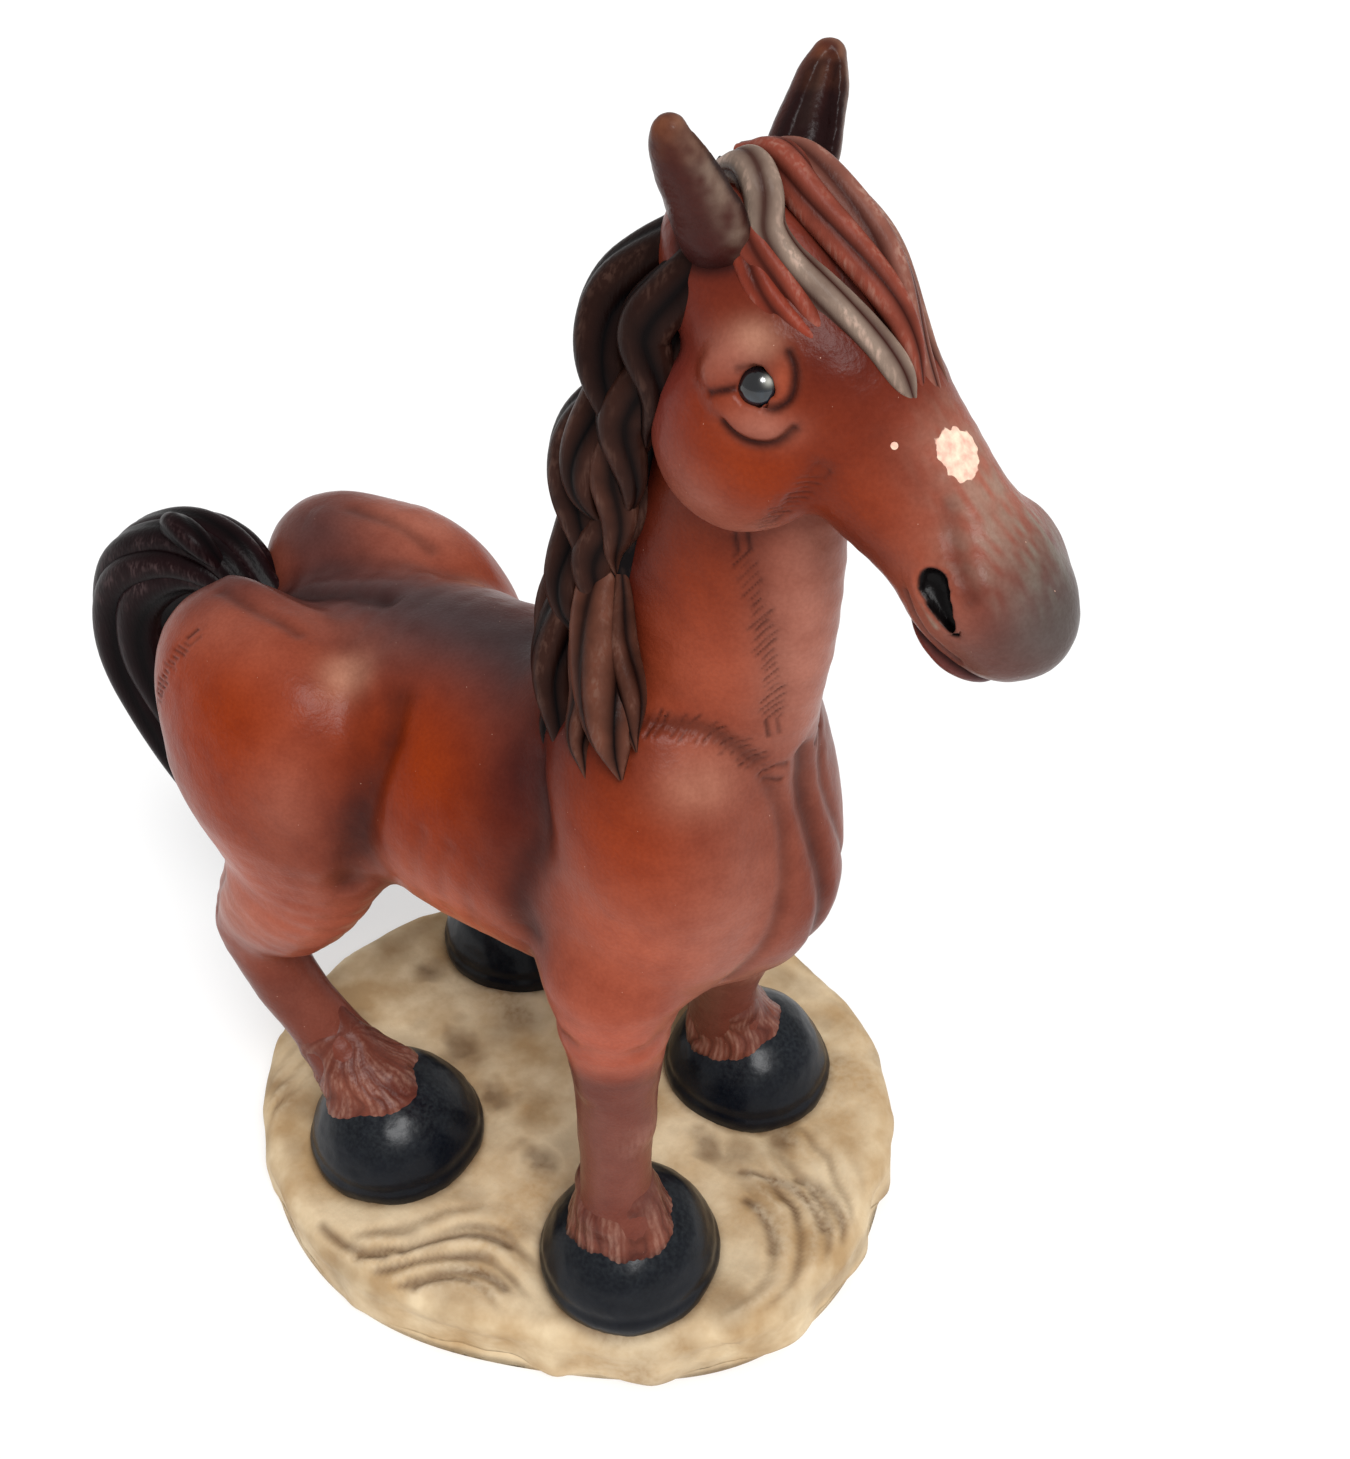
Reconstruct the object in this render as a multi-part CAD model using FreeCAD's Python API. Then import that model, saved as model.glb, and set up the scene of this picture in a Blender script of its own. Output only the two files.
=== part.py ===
"""A hand-painted cast resin figurine: a stocky draught horse standing on a piece of rock.

The horse faces +X, its left side is +Y and up is +Z.  The origin is on the underside of the felt
sheet, in the horse's middle plane and just behind its shoulders, so the figurine rests on the plane
z = 0.  Millimetres.

Each sculpted mass is a closed solid of its own.  Where two masses meet, one is cut back to the
other's surface, so that neighbours touch face to face and never overlap.
"""
import FreeCAD, Part
import math
import os

os.makedirs("parts", exist_ok=True)
Vector = FreeCAD.Vector

# ---------------------------------------------------------------- driving dimensions
ROCK_CENTRE = Vector(-5.4, 5.6, 0)
ROCK_HALF_LENGTH = 41.0       # along the horse
ROCK_HALF_WIDTH = 38.0        # across the horse
ROCK_TOP = 9.5                # the hooves stand at this height
FELT_THICK = 1.0
FELT_INSET = 3.0              # the felt stops this far inside the rock's outline
WITHERS_HEIGHT = 83.0         # top of the barrel behind the neck
BARREL_HALF_WIDTH = 16.5
BARREL_HALF_DEPTH = 16.5
RUMP_SPREAD = 11.0            # each half of the rump is this far from the middle plane
SHOULDER_SPREAD = 8.0
EAR_SPREAD = 4.8
EYE_RADIUS = 1.7
EYE_PLACE = (26.9, -7.05, 124.3)    # the right eye
HOOF_RADIUS = 10.4
HOOF_HEIGHT = 11.0
FEATHER_RADIUS = 6.6          # the hair over the hoof
LEG_RADIUS = 4.0              # the thinnest stretch of each leg
RING_POINTS = 10              # points on each cross-section of a limb
LOFT_DEGREE = 3

BARREL_MIDDLE = WITHERS_HEIGHT - BARREL_HALF_DEPTH
TUCKED_IN = {"left": 3.2, "right": 0.0}     # the left shoulder is slimmer
SET_BACK = {"left": 4.0, "right": 0.0}      # the left hind foot stands further back

# Hoof centres on the rock (x, y) and the hoof's turn about the vertical, degrees.
HOOVES = {
    "fore_left": (11.5, 20.0, 5.0),
    "fore_right": (15.7, -10.8, -75.0),
    "hind_left": (-27.0, 20.0, 10.0),
    "hind_right": (-18.0, -14.5, -35.0),
}


# ---------------------------------------------------------------- shapes
def ellipsoid(centre, radii, pitch=0.0, yaw=0.0):
    """An ellipsoid; pitch lifts its +X end and yaw turns it about the vertical."""
    ball_radius = 10.0
    stretch = FreeCAD.Matrix()
    stretch.scale(Vector(*radii) / ball_radius)
    ball = Part.makeSphere(ball_radius).transformGeometry(stretch)
    turn = FreeCAD.Rotation(Vector(0, 0, 1), yaw) * FreeCAD.Rotation(Vector(0, 1, 0), -pitch)
    ball.Placement = FreeCAD.Placement(Vector(*centre), turn)
    return ball


def closed_curve(points):
    """A smooth closed curve through the points."""
    curve = Part.BSplineCurve()
    curve.interpolate(points, PeriodicFlag=True)
    return Part.Wire([curve.toShape()])


def limb(stations, side=(0, 1, 0)):
    """A rounded limb through stations (x, y, z, half width along side, half depth)."""
    middles = [Vector(*station[:3]) for station in stations]
    rings = []
    for index, station in enumerate(stations):
        before = middles[max(index - 1, 0)]
        after = middles[min(index + 1, len(middles) - 1)]
        along = (after - before).normalize()
        across = Vector(*side)
        across = (across - along * across.dot(along)).normalize()
        wide = across * station[3]
        thick = along.cross(across) * station[4]
        angles = [2 * math.pi * step / RING_POINTS for step in range(RING_POINTS)]
        rings.append(closed_curve([
            middles[index] + wide * math.cos(angle) + thick * math.sin(angle) for angle in angles
        ]))
    return Part.makeLoft(rings, True, False, False, LOFT_DEGREE)


def fuse(shapes):
    """One solid out of shapes that overlap."""
    return shapes[0].multiFuse(shapes[1:])


def largest_solid(shape):
    """The main solid of a cut, without the slivers that a cut may leave."""
    return max(shape.Solids, key=lambda solid: solid.Volume)


def cut_back(shape, neighbours):
    """The shape cut back to the surfaces of the neighbours that it meets."""
    for neighbour in neighbours:
        shape = largest_solid(shape.cut(neighbour))
    return shape


def right_half(shape):
    """The part of a shape that lies to the right of the middle plane."""
    size = 300.0
    return largest_solid(shape.common(Part.makeBox(size, size, size, Vector(-size / 2, -size, 0))))


def on_side(shape, side):
    """A shape built for the right side, mirrored if it belongs to the left."""
    if side == "right":
        return shape
    return shape.mirror(Vector(0, 0, 0), Vector(0, 1, 0))


# ---------------------------------------------------------------- rock and felt
def rock_outline(height, scale):
    """The rock's uneven oval at one height, as a smooth closed curve."""
    point_count = 24
    points = []
    for index in range(point_count):
        angle = 2 * math.pi * index / point_count
        lump = 1 + 0.035 * math.cos(2 * angle - 1.26)
        lump += 0.022 * math.cos(3 * angle + 0.7) + 0.014 * math.cos(5 * angle + 2.0)
        x = ROCK_HALF_LENGTH * scale * lump * math.cos(angle)
        y = ROCK_HALF_WIDTH * scale * lump * math.sin(angle)
        points.append(ROCK_CENTRE + Vector(x, y, height))
    return closed_curve(points)


def make_rock():
    levels = ((FELT_THICK, 0.96), (FELT_THICK + 2.5, 1.0), (ROCK_TOP - 2.5, 0.99), (ROCK_TOP, 0.93))
    return Part.makeLoft([rock_outline(height, scale) for height, scale in levels], True)


def make_felt():
    scale = 0.96 - FELT_INSET / ROCK_HALF_LENGTH
    return Part.Face(rock_outline(0.0, scale)).extrude(Vector(0, 0, FELT_THICK))


# ---------------------------------------------------------------- body masses
def make_barrel():
    wide = BARREL_HALF_WIDTH
    deep = BARREL_HALF_DEPTH
    middle = BARREL_MIDDLE
    return limb([
        (-41, 0, middle + 2.5, 4, 5),
        (-37, 0, middle + 1, 8, 10),
        (-30, 0, middle - 0.5, 12, 13.5),
        (-20, 0, middle, wide - 1.5, deep - 0.5),
        (-8, 0, middle + 0.2, wide, deep + 0.5),
        (4, 0, middle + 1, wide, deep),
        (14, 0, middle + 2.5, wide - 2, deep),
        (21, 0, middle + 4.5, wide - 6, deep - 3),
        (25, 0, middle + 5.5, 5, 8),
    ])


def make_neck():
    return limb([
        (13, 0, 74, 9, 12),
        (14, 0, 81, 9.6, 13.6),
        (16.5, 0, 90, 8.4, 12.4),
        (19.4, 0, 101, 7.3, 10.9),
        (21.4, 0, 112, 6.6, 9.0),
        (23, 0, 121, 6.2, 7.5),
    ])


def make_head():
    skull = limb([
        (18.0, 0, 131.0, 4.4, 3.6),
        (20.5, 0, 129.3, 6.6, 5.8),
        (24, 0, 126.4, 7.7, 7.0),
        (28.5, 0, 122.2, 7.9, 7.7),
        (33.5, 0, 118.0, 6.5, 6.7),
        (39, 0, 113.6, 5.6, 5.8),
        (43.2, 0, 110.0, 6.4, 6.0),
        (45.9, 0, 107.6, 5.2, 4.9),
        (47.3, 0, 106.5, 2.8, 2.6),
    ])
    cheeks = [ellipsoid((24.2, sign * 4.9, 118.6), (7.4, 5, 8.2), pitch=-35) for sign in (-1, 1)]
    nostril_bulges = [ellipsoid((43.6, sign * 4.4, 111.8), (3.6, 2.6, 2.6), pitch=-40) for sign in (-1, 1)]
    return fuse([skull] + cheeks + nostril_bulges)


def make_lower_lip():
    return ellipsoid((41.6, 0, 104.8), (4.8, 4.4, 2.6), pitch=-38)


def make_eye():
    return Part.makeSphere(EYE_RADIUS, Vector(*EYE_PLACE))


def make_ear():
    spread = EAR_SPREAD
    return limb([
        (21.3, -0.75 * spread, 130.5, 3.2, 2.3),
        (21.4, -spread, 133.2, 3.5, 2.5),
        (21.3, -1.4 * spread, 136.8, 2.9, 2.1),
        (21.1, -1.8 * spread, 140.0, 2.0, 1.6),
        (21.0, -2.05 * spread, 142.2, 1.1, 1.0),
    ], side=(1, 0, 0.3))


def make_shoulder(tucked_in):
    """One shoulder; tucked_in moves it towards the middle plane."""
    spread = SHOULDER_SPREAD - tucked_in
    masses = [
        ellipsoid((17.5, -spread, 77), (10.5, 8, 15), pitch=12),
        ellipsoid((16, -spread - 1, 67), (8.5, 6.4, 9.2)),
    ]
    return fuse(masses)


def make_hindquarter(set_back):
    """One half of the rump with its thigh; set_back moves it towards the tail."""
    front = -26 - set_back
    thigh = limb([
        (front, -10, 68, 7, 10),
        (front + 0.5, -13, 60, 7.8, 10.6),
        (front - 0.5, -14.3, 52, 6.6, 8.6),
        (front - 3, -15.2, 46.5, 5.4, 6.8),
    ])
    masses = [
        ellipsoid((front - 2, -RUMP_SPREAD, 66), (16, 11.5, 16.5), pitch=-6),
        ellipsoid((front - 10, 1.5 - RUMP_SPREAD, 71.5), (9.5, 8.5, 10.5)),
        thigh,
    ]
    return fuse(masses)


# ---------------------------------------------------------------- legs
# Each leg from the top down: x, y, z, half width, half depth.
LEGS = {
    "fore_left": [
        (16, 8.5, 68, 5, 5.5), (15, 10.5, 59, 6, 6.6), (14, 12.5, 47, 4.5, 4.7),
        (12, 14.5, 36, LEG_RADIUS, 4.1), (10, 16.5, 27, 3.9, 4.0), (9.5, 18, 20, 4.2, 4.4),
    ],
    "fore_right": [
        (16, -9.5, 68, 5, 5.5), (15.5, -11.6, 59, 6.2, 6.8), (15.6, -12.2, 47, 4.6, 4.8),
        (15.3, -12.2, 36, LEG_RADIUS, 4.1), (15.0, -12, 27, 3.9, 4.0), (15.0, -11.8, 20, 4.2, 4.4),
    ],
    "hind_left": [
        (-31, 14, 54, 5, 6.4), (-35.5, 15.2, 46, 5.2, 6.4), (-38.5, 16.2, 39, 4.4, 5.2),
        (-36.5, 17.8, 31, LEG_RADIUS, 4.3), (-33, 19, 24.5, 3.9, 4.1), (-30, 19.6, 19.5, 4.2, 4.4),
    ],
    "hind_right": [
        (-27, -14, 54, 5, 6.4), (-31.5, -15.4, 46, 5.2, 6.4), (-34.8, -16, 39, 4.4, 5.2),
        (-32.3, -15.8, 31, LEG_RADIUS, 4.3), (-27.6, -15.2, 24.5, 3.9, 4.1), (-23.4, -15, 19.5, 4.2, 4.4),
    ],
}


def make_leg(corner):
    return limb(LEGS[corner])


def make_hoof(corner):
    """A domed hoof: the upper part of an ellipsoid, standing flat on the rock."""
    x, y, yaw = HOOVES[corner]
    dome = ellipsoid((x, y, ROCK_TOP + 1), (HOOF_RADIUS, HOOF_RADIUS - 0.4, HOOF_HEIGHT - 1), yaw=yaw)
    above = Part.makeBox(60, 60, 60, Vector(x - 30, y - 30, ROCK_TOP))
    return dome.common(above)


def make_feather(corner):
    """The skirt of hair that widens from the thin part of the leg down over the hoof."""
    x, y, z = LEGS[corner][4][:3]
    foot_x, foot_y, foot_z = LEGS[corner][5][:3]
    hoof_x, hoof_y = HOOVES[corner][:2]
    return limb([
        (x, y, z, LEG_RADIUS + 0.2, LEG_RADIUS + 0.4),
        (foot_x, foot_y, foot_z, FEATHER_RADIUS - 1.5, FEATHER_RADIUS - 1.2),
        (0.6 * foot_x + 0.4 * hoof_x, 0.6 * foot_y + 0.4 * hoof_y, foot_z - 4,
         FEATHER_RADIUS, FEATHER_RADIUS),
    ])


# ---------------------------------------------------------------- hair
def make_mane():
    return limb([
        (19.0, -0.5, 131.5, 2.2, 2.4),
        (14.4, -2, 124, 3.5, 4),
        (12.6, -3, 112, 4, 4.5),
        (12, -4, 100, 4.5, 4.6),
        (11.2, -5.2, 91, 4.5, 4.5),
    ])


def make_shoulder_lock():
    return limb([
        (11.0, -6.5, 98, 4.0, 4.4),
        (11.4, -9.5, 92.5, 3.8, 4.2),
        (13.6, -13.2, 88, 3.0, 3.6),
        (16.6, -16.0, 84, 1.1, 1.4),
    ])


def make_forelock():
    return limb([
        (21.0, 0, 135.6, 3.4, 2.0),
        (25.5, -0.3, 134.0, 4.4, 2.2),
        (30.0, -0.8, 130.2, 4.2, 2.0),
        (34.0, -1.6, 126.0, 3.2, 1.7),
        (37.2, -2.4, 122.2, 1.2, 1.1),
    ])


def make_tail():
    return limb([
        (-39.5, 0, 70, 3.0, 3.2),
        (-44, 0, 73.5, 3.2, 3.6),
        (-48, 0, 75.8, 3.8, 4.5),
        (-53.8, -0.8, 75.5, 4.8, 5.5),
        (-60.2, -2, 70, 6, 6),
        (-62.6, -2.6, 60.5, 6.5, 6),
        (-59.2, -2.6, 50, 6, 5.5),
        (-54.4, -2.6, 40, 4.6, 4.6),
        (-51, -2.6, 32, 2.6, 3),
        (-50, -2.6, 27, 1.2, 1.6),
    ])


# ---------------------------------------------------------------- assembly
def assemble():
    """Build every solid, cutting each one back to the neighbours made before it."""
    solids = {"felt_pad": make_felt(), "rock_base": make_rock(), "barrel": make_barrel()}
    barrel = solids["barrel"]
    for side in ("left", "right"):
        solids["eye_" + side] = on_side(make_eye(), side)
    solids["lower_lip"] = make_lower_lip()
    set_in = [solids["eye_left"], solids["eye_right"], solids["lower_lip"]]
    head = cut_back(make_head(), set_in)
    neck = cut_back(make_neck(), [barrel, head])
    solids["head"] = head
    solids["neck"] = neck
    for side in ("left", "right"):
        solids["ear_" + side] = on_side(cut_back(make_ear(), [head]), side)
        shoulder = cut_back(make_shoulder(TUCKED_IN[side]), [barrel, neck])
        solids["shoulder_" + side] = on_side(right_half(shoulder), side)
        hindquarter = cut_back(make_hindquarter(SET_BACK[side]), [barrel])
        solids["hindquarter_" + side] = on_side(right_half(hindquarter), side)

    for corner in HOOVES:
        end, side = corner.split("_")
        above = solids[("shoulder_" if end == "fore" else "hindquarter_") + side]
        hoof = make_hoof(corner)
        feather = cut_back(make_feather(corner), [hoof])
        solids["hoof_" + corner] = hoof
        solids["feather_" + corner] = feather
        solids["leg_" + corner] = cut_back(make_leg(corner), [above, barrel, feather, hoof])

    ears = [solids["ear_left"], solids["ear_right"]]
    forelock = cut_back(make_forelock(), [head] + ears)
    mane = cut_back(make_mane(), [neck, head, barrel, forelock] + ears)
    lock_meets = [mane, neck, barrel, solids["shoulder_right"]]
    solids["forelock"] = forelock
    solids["mane"] = mane
    solids["shoulder_lock"] = cut_back(make_shoulder_lock(), lock_meets)
    rump = [solids["hindquarter_left"], solids["hindquarter_right"], barrel]
    solids["tail"] = cut_back(make_tail(), rump)
    return solids


for node, solid in assemble().items():
    if not solid.isValid():
        raise ValueError(node + " is not a valid solid")
    solid.exportStep("parts/" + node + ".step")
    print(node, round(solid.Volume), "mm3", len(solid.Solids), "solid")
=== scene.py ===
# %% [markdown]
# # A painted resin draught horse
#
# The object is a table figurine: a stocky chestnut horse cast in resin together with the rock it stands on,
# then airbrushed, washed with dark paint and dry-brushed with a pale one. This lesson builds it in the order
# in which it is made: first the clay, then the carved detail, then the hair, and the paint at the end.
#
# The horse faces +X, its left is +Y and up is +Z. All modelling is done in millimetres, as a sculptor would
# say it, and only turned into metres when a mesh is handed to Blender.

# %% Load the fixed frame
import math
import time

import bmesh
import bpy
import numpy as np
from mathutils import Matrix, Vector


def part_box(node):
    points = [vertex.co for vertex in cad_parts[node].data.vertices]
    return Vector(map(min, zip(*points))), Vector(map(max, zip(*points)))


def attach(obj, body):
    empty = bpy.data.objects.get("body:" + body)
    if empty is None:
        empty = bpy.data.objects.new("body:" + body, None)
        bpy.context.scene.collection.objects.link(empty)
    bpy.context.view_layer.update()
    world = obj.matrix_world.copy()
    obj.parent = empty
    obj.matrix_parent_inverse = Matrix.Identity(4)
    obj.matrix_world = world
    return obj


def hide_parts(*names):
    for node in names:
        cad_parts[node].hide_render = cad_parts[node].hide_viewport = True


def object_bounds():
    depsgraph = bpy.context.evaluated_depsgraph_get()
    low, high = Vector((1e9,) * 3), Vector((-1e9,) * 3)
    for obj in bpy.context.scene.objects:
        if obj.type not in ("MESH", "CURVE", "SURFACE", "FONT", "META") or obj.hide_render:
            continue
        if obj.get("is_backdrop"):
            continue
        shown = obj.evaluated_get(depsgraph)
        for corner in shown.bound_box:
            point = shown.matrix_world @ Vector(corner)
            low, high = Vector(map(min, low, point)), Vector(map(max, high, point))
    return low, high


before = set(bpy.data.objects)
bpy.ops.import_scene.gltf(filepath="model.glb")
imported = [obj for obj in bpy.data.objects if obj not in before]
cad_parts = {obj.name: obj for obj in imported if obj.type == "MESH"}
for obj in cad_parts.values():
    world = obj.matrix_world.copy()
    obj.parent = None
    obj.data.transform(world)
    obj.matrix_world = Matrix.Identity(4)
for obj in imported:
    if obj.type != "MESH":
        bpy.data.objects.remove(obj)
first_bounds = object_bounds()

MM = 0.001
start_time = time.time()
print("nodes in the frame:", len(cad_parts))

# %% [markdown]
# ## Where everything stands
#
# The figurine is posed once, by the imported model. Instead of repeating its sizes, the script reads the box
# of a node where it can: the top of the rock is where the hooves stand, and each hoof's own box gives its
# middle and its radii.

# %% Read sizes from the frame
def box_mm(node):
    """The lowest and highest corner of a node, in millimetres."""
    low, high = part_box(node)
    return np.array(low) / MM, np.array(high) / MM


CORNERS = ("fore_left", "fore_right", "hind_left", "hind_right")
SIDES = {"left": 1, "right": -1}
rock_low, rock_high = box_mm("rock_base")
GROUND = rock_high[2]
EYE_LOW, EYE_HIGH = box_mm("eye_right")
EYE_MIDDLE = (EYE_LOW + EYE_HIGH) / 2
EYE_RADIUS = (EYE_HIGH - EYE_LOW)[0] / 2
print("hooves stand at", round(float(GROUND), 2), "mm, eye radius", round(float(EYE_RADIUS), 2), "mm")

# %% [markdown]
# ## The camera
#
# A small object seen from close by shows strong perspective: the head is much nearer to the lens
# than the hooves. The camera therefore stands only about 19 cm from the figurine's middle, above its right
# shoulder, with a fairly wide lens.

# %% Camera
CAMERA_AZIMUTH = math.radians(36.0)
CAMERA_ELEVATION = math.radians(40.0)
CAMERA_DISTANCE = 190.0
CAMERA_TARGET = Vector((-4.0, 25.35, 55.7))
PICTURE_HEIGHT = 1459
FOCAL_LENGTH_IN_PICTURE_HEIGHTS = 1600 / PICTURE_HEIGHT
SENSOR_HEIGHT = 24.0


def make_camera():
    towards_camera = Vector((
        math.sin(CAMERA_AZIMUTH) * math.cos(CAMERA_ELEVATION),
        -math.cos(CAMERA_AZIMUTH) * math.cos(CAMERA_ELEVATION),
        math.sin(CAMERA_ELEVATION),
    ))
    data = bpy.data.cameras.new("camera")
    data.sensor_fit = "VERTICAL"
    data.sensor_height = SENSOR_HEIGHT
    data.lens = SENSOR_HEIGHT * FOCAL_LENGTH_IN_PICTURE_HEIGHTS
    data.clip_start = 0.005
    camera = bpy.data.objects.new("camera", data)
    camera.location = (CAMERA_TARGET + towards_camera * CAMERA_DISTANCE) * MM
    camera.rotation_euler = towards_camera.to_track_quat("Z", "Y").to_euler()
    bpy.context.collection.objects.link(camera)
    bpy.context.scene.camera = camera


make_camera()

# %% [markdown]
# ## Clay
#
# A sculptor builds a horse from rounded masses and smooths them into each other. A signed distance field
# does the same: every point of a grid stores how far it is from the surface, negative inside. Joining two
# masses is then a minimum, and a *soft* minimum leaves a smooth fillet where they meet. Plain meshes would
# need boolean cuts and hand-made fillets for the same result.

# %% Soft joins and turns
def soft_min(a, b, blend):
    """The smaller of two distances, rounded where they are closer than blend."""
    if blend <= 0:
        return np.minimum(a, b)
    overlap = np.maximum(blend - np.abs(a - b), 0) / blend
    return np.minimum(a, b) - overlap * overlap * blend * np.float32(0.25)


def unit(vector):
    vector = np.array(vector, float)
    return vector / np.linalg.norm(vector)


def turned(yaw=0.0, pitch=0.0, roll=0.0):
    """Axes of a turned mass, as columns; pitch lifts its front end. Degrees."""
    yaw, pitch, roll = np.radians([yaw, pitch, roll])
    about_z = np.array([[np.cos(yaw), -np.sin(yaw), 0], [np.sin(yaw), np.cos(yaw), 0], [0, 0, 1]])
    about_y = np.array([[np.cos(pitch), 0, -np.sin(pitch)], [0, 1, 0], [np.sin(pitch), 0, np.cos(pitch)]])
    about_x = np.array([[1, 0, 0], [0, np.cos(roll), -np.sin(roll)], [0, np.sin(roll), np.cos(roll)]])
    return about_z @ about_y @ about_x


def smooth_path(points, steps=4):
    """Points along a smooth curve that passes through the given rows (Catmull-Rom)."""
    rows = np.array(points, float)
    padded = np.vstack([2 * rows[0] - rows[1], rows, 2 * rows[-1] - rows[-2]])
    result = []
    for index in range(len(rows) - 1):
        a, b, c, d = padded[index:index + 4]
        for t in np.linspace(0, 1, steps, endpoint=False):
            cubic = -a + 3 * b - 3 * c + d
            square = 2 * a - 5 * b + 4 * c - d
            result.append(0.5 * (2 * b + (c - a) * t + square * t ** 2 + cubic * t ** 3))
    result.append(rows[-1])
    return np.array(result)


# %% The clay block
class Clay:
    """Signed distances in millimetres on a grid. Each point also remembers the mass it belongs to."""

    FAR = np.float32(8.0)

    def __init__(self, low, high, step):
        self.low = np.array(low, float)
        self.step = float(step)
        count = np.ceil((np.array(high) - self.low) / step).astype(int) + 1
        self.distance = np.full(count, self.FAR, np.float32)
        self.nearest = np.full(count, self.FAR, np.float32)
        self.owner = np.zeros(count, np.int8)
        self.names = []

    def window(self, low, high):
        """The part of the grid between two corners, and the coordinates of its points."""
        count = self.distance.shape
        first = np.clip(np.floor((np.array(low) - self.low) / self.step).astype(int), 0, count)
        last = np.clip(np.ceil((np.array(high) - self.low) / self.step).astype(int) + 1, 0, count)
        part = tuple(slice(a, b) for a, b in zip(first, last))
        x, y, z = [(self.low[k] + self.step * np.arange(first[k], last[k])).astype(np.float32)
                   for k in range(3)]
        return part, (x[:, None, None], y[None, :, None], z[None, None, :])

    def join(self, part, distance, name, blend):
        if name not in self.names:
            self.names.append(name)
        closer = distance < self.nearest[part]
        self.owner[part][closer] = self.names.index(name)
        self.nearest[part] = np.minimum(self.nearest[part], distance)
        self.distance[part] = soft_min(self.distance[part], distance, blend)

    def carve(self, part, distance, blend):
        self.distance[part] = -soft_min(-self.distance[part], distance, blend)

    def ball(self, name, centre, radii, turn=None, blend=3.0, cut=False):
        """Adds an ellipsoid, or cuts one out."""
        turn = np.eye(3) if turn is None else turn
        reach = np.sqrt(((turn * np.array(radii)) ** 2).sum(1)) + blend + 3
        part, grid = self.window(np.array(centre) - reach, np.array(centre) + reach)
        away = [grid[k] - np.float32(centre[k]) for k in range(3)]
        local = [sum(away[k] * np.float32(turn[k, axis]) for k in range(3)) for axis in range(3)]
        distance = ellipsoid_distance(local, radii)
        if cut:
            self.carve(part, distance, blend)
        else:
            self.join(part, distance, name, blend)

    def limb(self, name, stations, side=(0, 1, 0), blend=3.0, cut=False, steps=4):
        """Adds a rounded limb, or cuts one out. Stations: x, y, z, half width along side, half depth."""
        rows = smooth_path(stations, steps)
        reach = rows[:, 3:].max() + blend + 3
        part, grid = self.window(rows[:, :3].min(0) - reach, rows[:, :3].max(0) + reach)
        whole = np.full([axis.size for axis in grid], self.FAR, np.float32)
        for here, there in zip(rows[:-1], rows[1:]):
            self.limb_span(whole, part, here, there, unit(side), blend)
        if cut:
            self.carve(part, whole, blend)
        else:
            self.join(part, whole, name, blend)

    def limb_span(self, whole, part, here, there, side, blend):
        """Writes one short span of a limb into the distances of the whole limb."""
        length = np.linalg.norm(there[:3] - here[:3])
        if length < 1e-6:
            return
        along = (there[:3] - here[:3]) / length
        reach = max(here[3:].max(), there[3:].max()) + blend + 3
        low = np.minimum(here[:3], there[:3]) - reach
        high = np.maximum(here[:3], there[:3]) + reach
        span, grid = self.window(low, high)
        inner = tuple(slice(max(s.start, p.start) - p.start, min(s.stop, p.stop) - p.start)
                      for s, p in zip(span, part))
        skip = [p.start + i.start - s.start for s, p, i in zip(span, part, inner)]
        size = [i.stop - i.start for i in inner]
        if min(size) <= 0:
            return
        axes = [grid[k].ravel()[skip[k]:skip[k] + size[k]] for k in range(3)]
        away = [axes[0][:, None, None] - np.float32(here[0]),
                axes[1][None, :, None] - np.float32(here[1]),
                axes[2][None, None, :] - np.float32(here[2])]
        across = side - along * (side @ along)
        across = across / np.linalg.norm(across)
        deep = np.cross(along, across)
        w = sum(away[k] * np.float32(along[k]) for k in range(3))
        t = np.clip(w / np.float32(length), 0, 1)
        w = w - t * np.float32(length)
        u = sum(away[k] * np.float32(across[k]) for k in range(3))
        v = sum(away[k] * np.float32(deep[k]) for k in range(3))
        wide = np.float32(here[3]) + t * np.float32(there[3] - here[3])
        thick = np.float32(here[4]) + t * np.float32(there[4] - here[4])
        distance = ellipsoid_distance([u, v, w], [wide, thick, np.minimum(wide, thick)])
        whole[inner] = np.minimum(whole[inner], distance)


def ellipsoid_distance(local, radii):
    """A good estimate of the distance to an ellipsoid with the given half axes."""
    scaled = [local[k] / radii[k] for k in range(3)]
    near = np.sqrt(sum(s * s for s in scaled))
    slope = np.sqrt(sum((scaled[k] / radii[k]) ** 2 for k in range(3))) + np.float32(1e-9)
    return (near * (near - 1) / slope).astype(np.float32)


# %% [markdown]
# ## From clay to a mesh
#
# *Surface nets* put one vertex in every grid cell that the surface passes through, at the mean of the
# crossings on the cell's edges, and one quad across every grid edge that it crosses. The quads are even and
# nearly square, which suits both sculpted displacement and baking. The pieces of the horse are then simply
# groups of these quads, so that neighbours share their border exactly and no seam shows.

# %% Surface nets
CELL_CORNERS = [(i, j, k) for k in (0, 1) for j in (0, 1) for i in (0, 1)]
CELL_EDGES = [(a, b) for a in range(8) for b in range(a + 1, 8)
              if sum(abs(p - q) for p, q in zip(CELL_CORNERS[a], CELL_CORNERS[b])) == 1]


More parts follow.
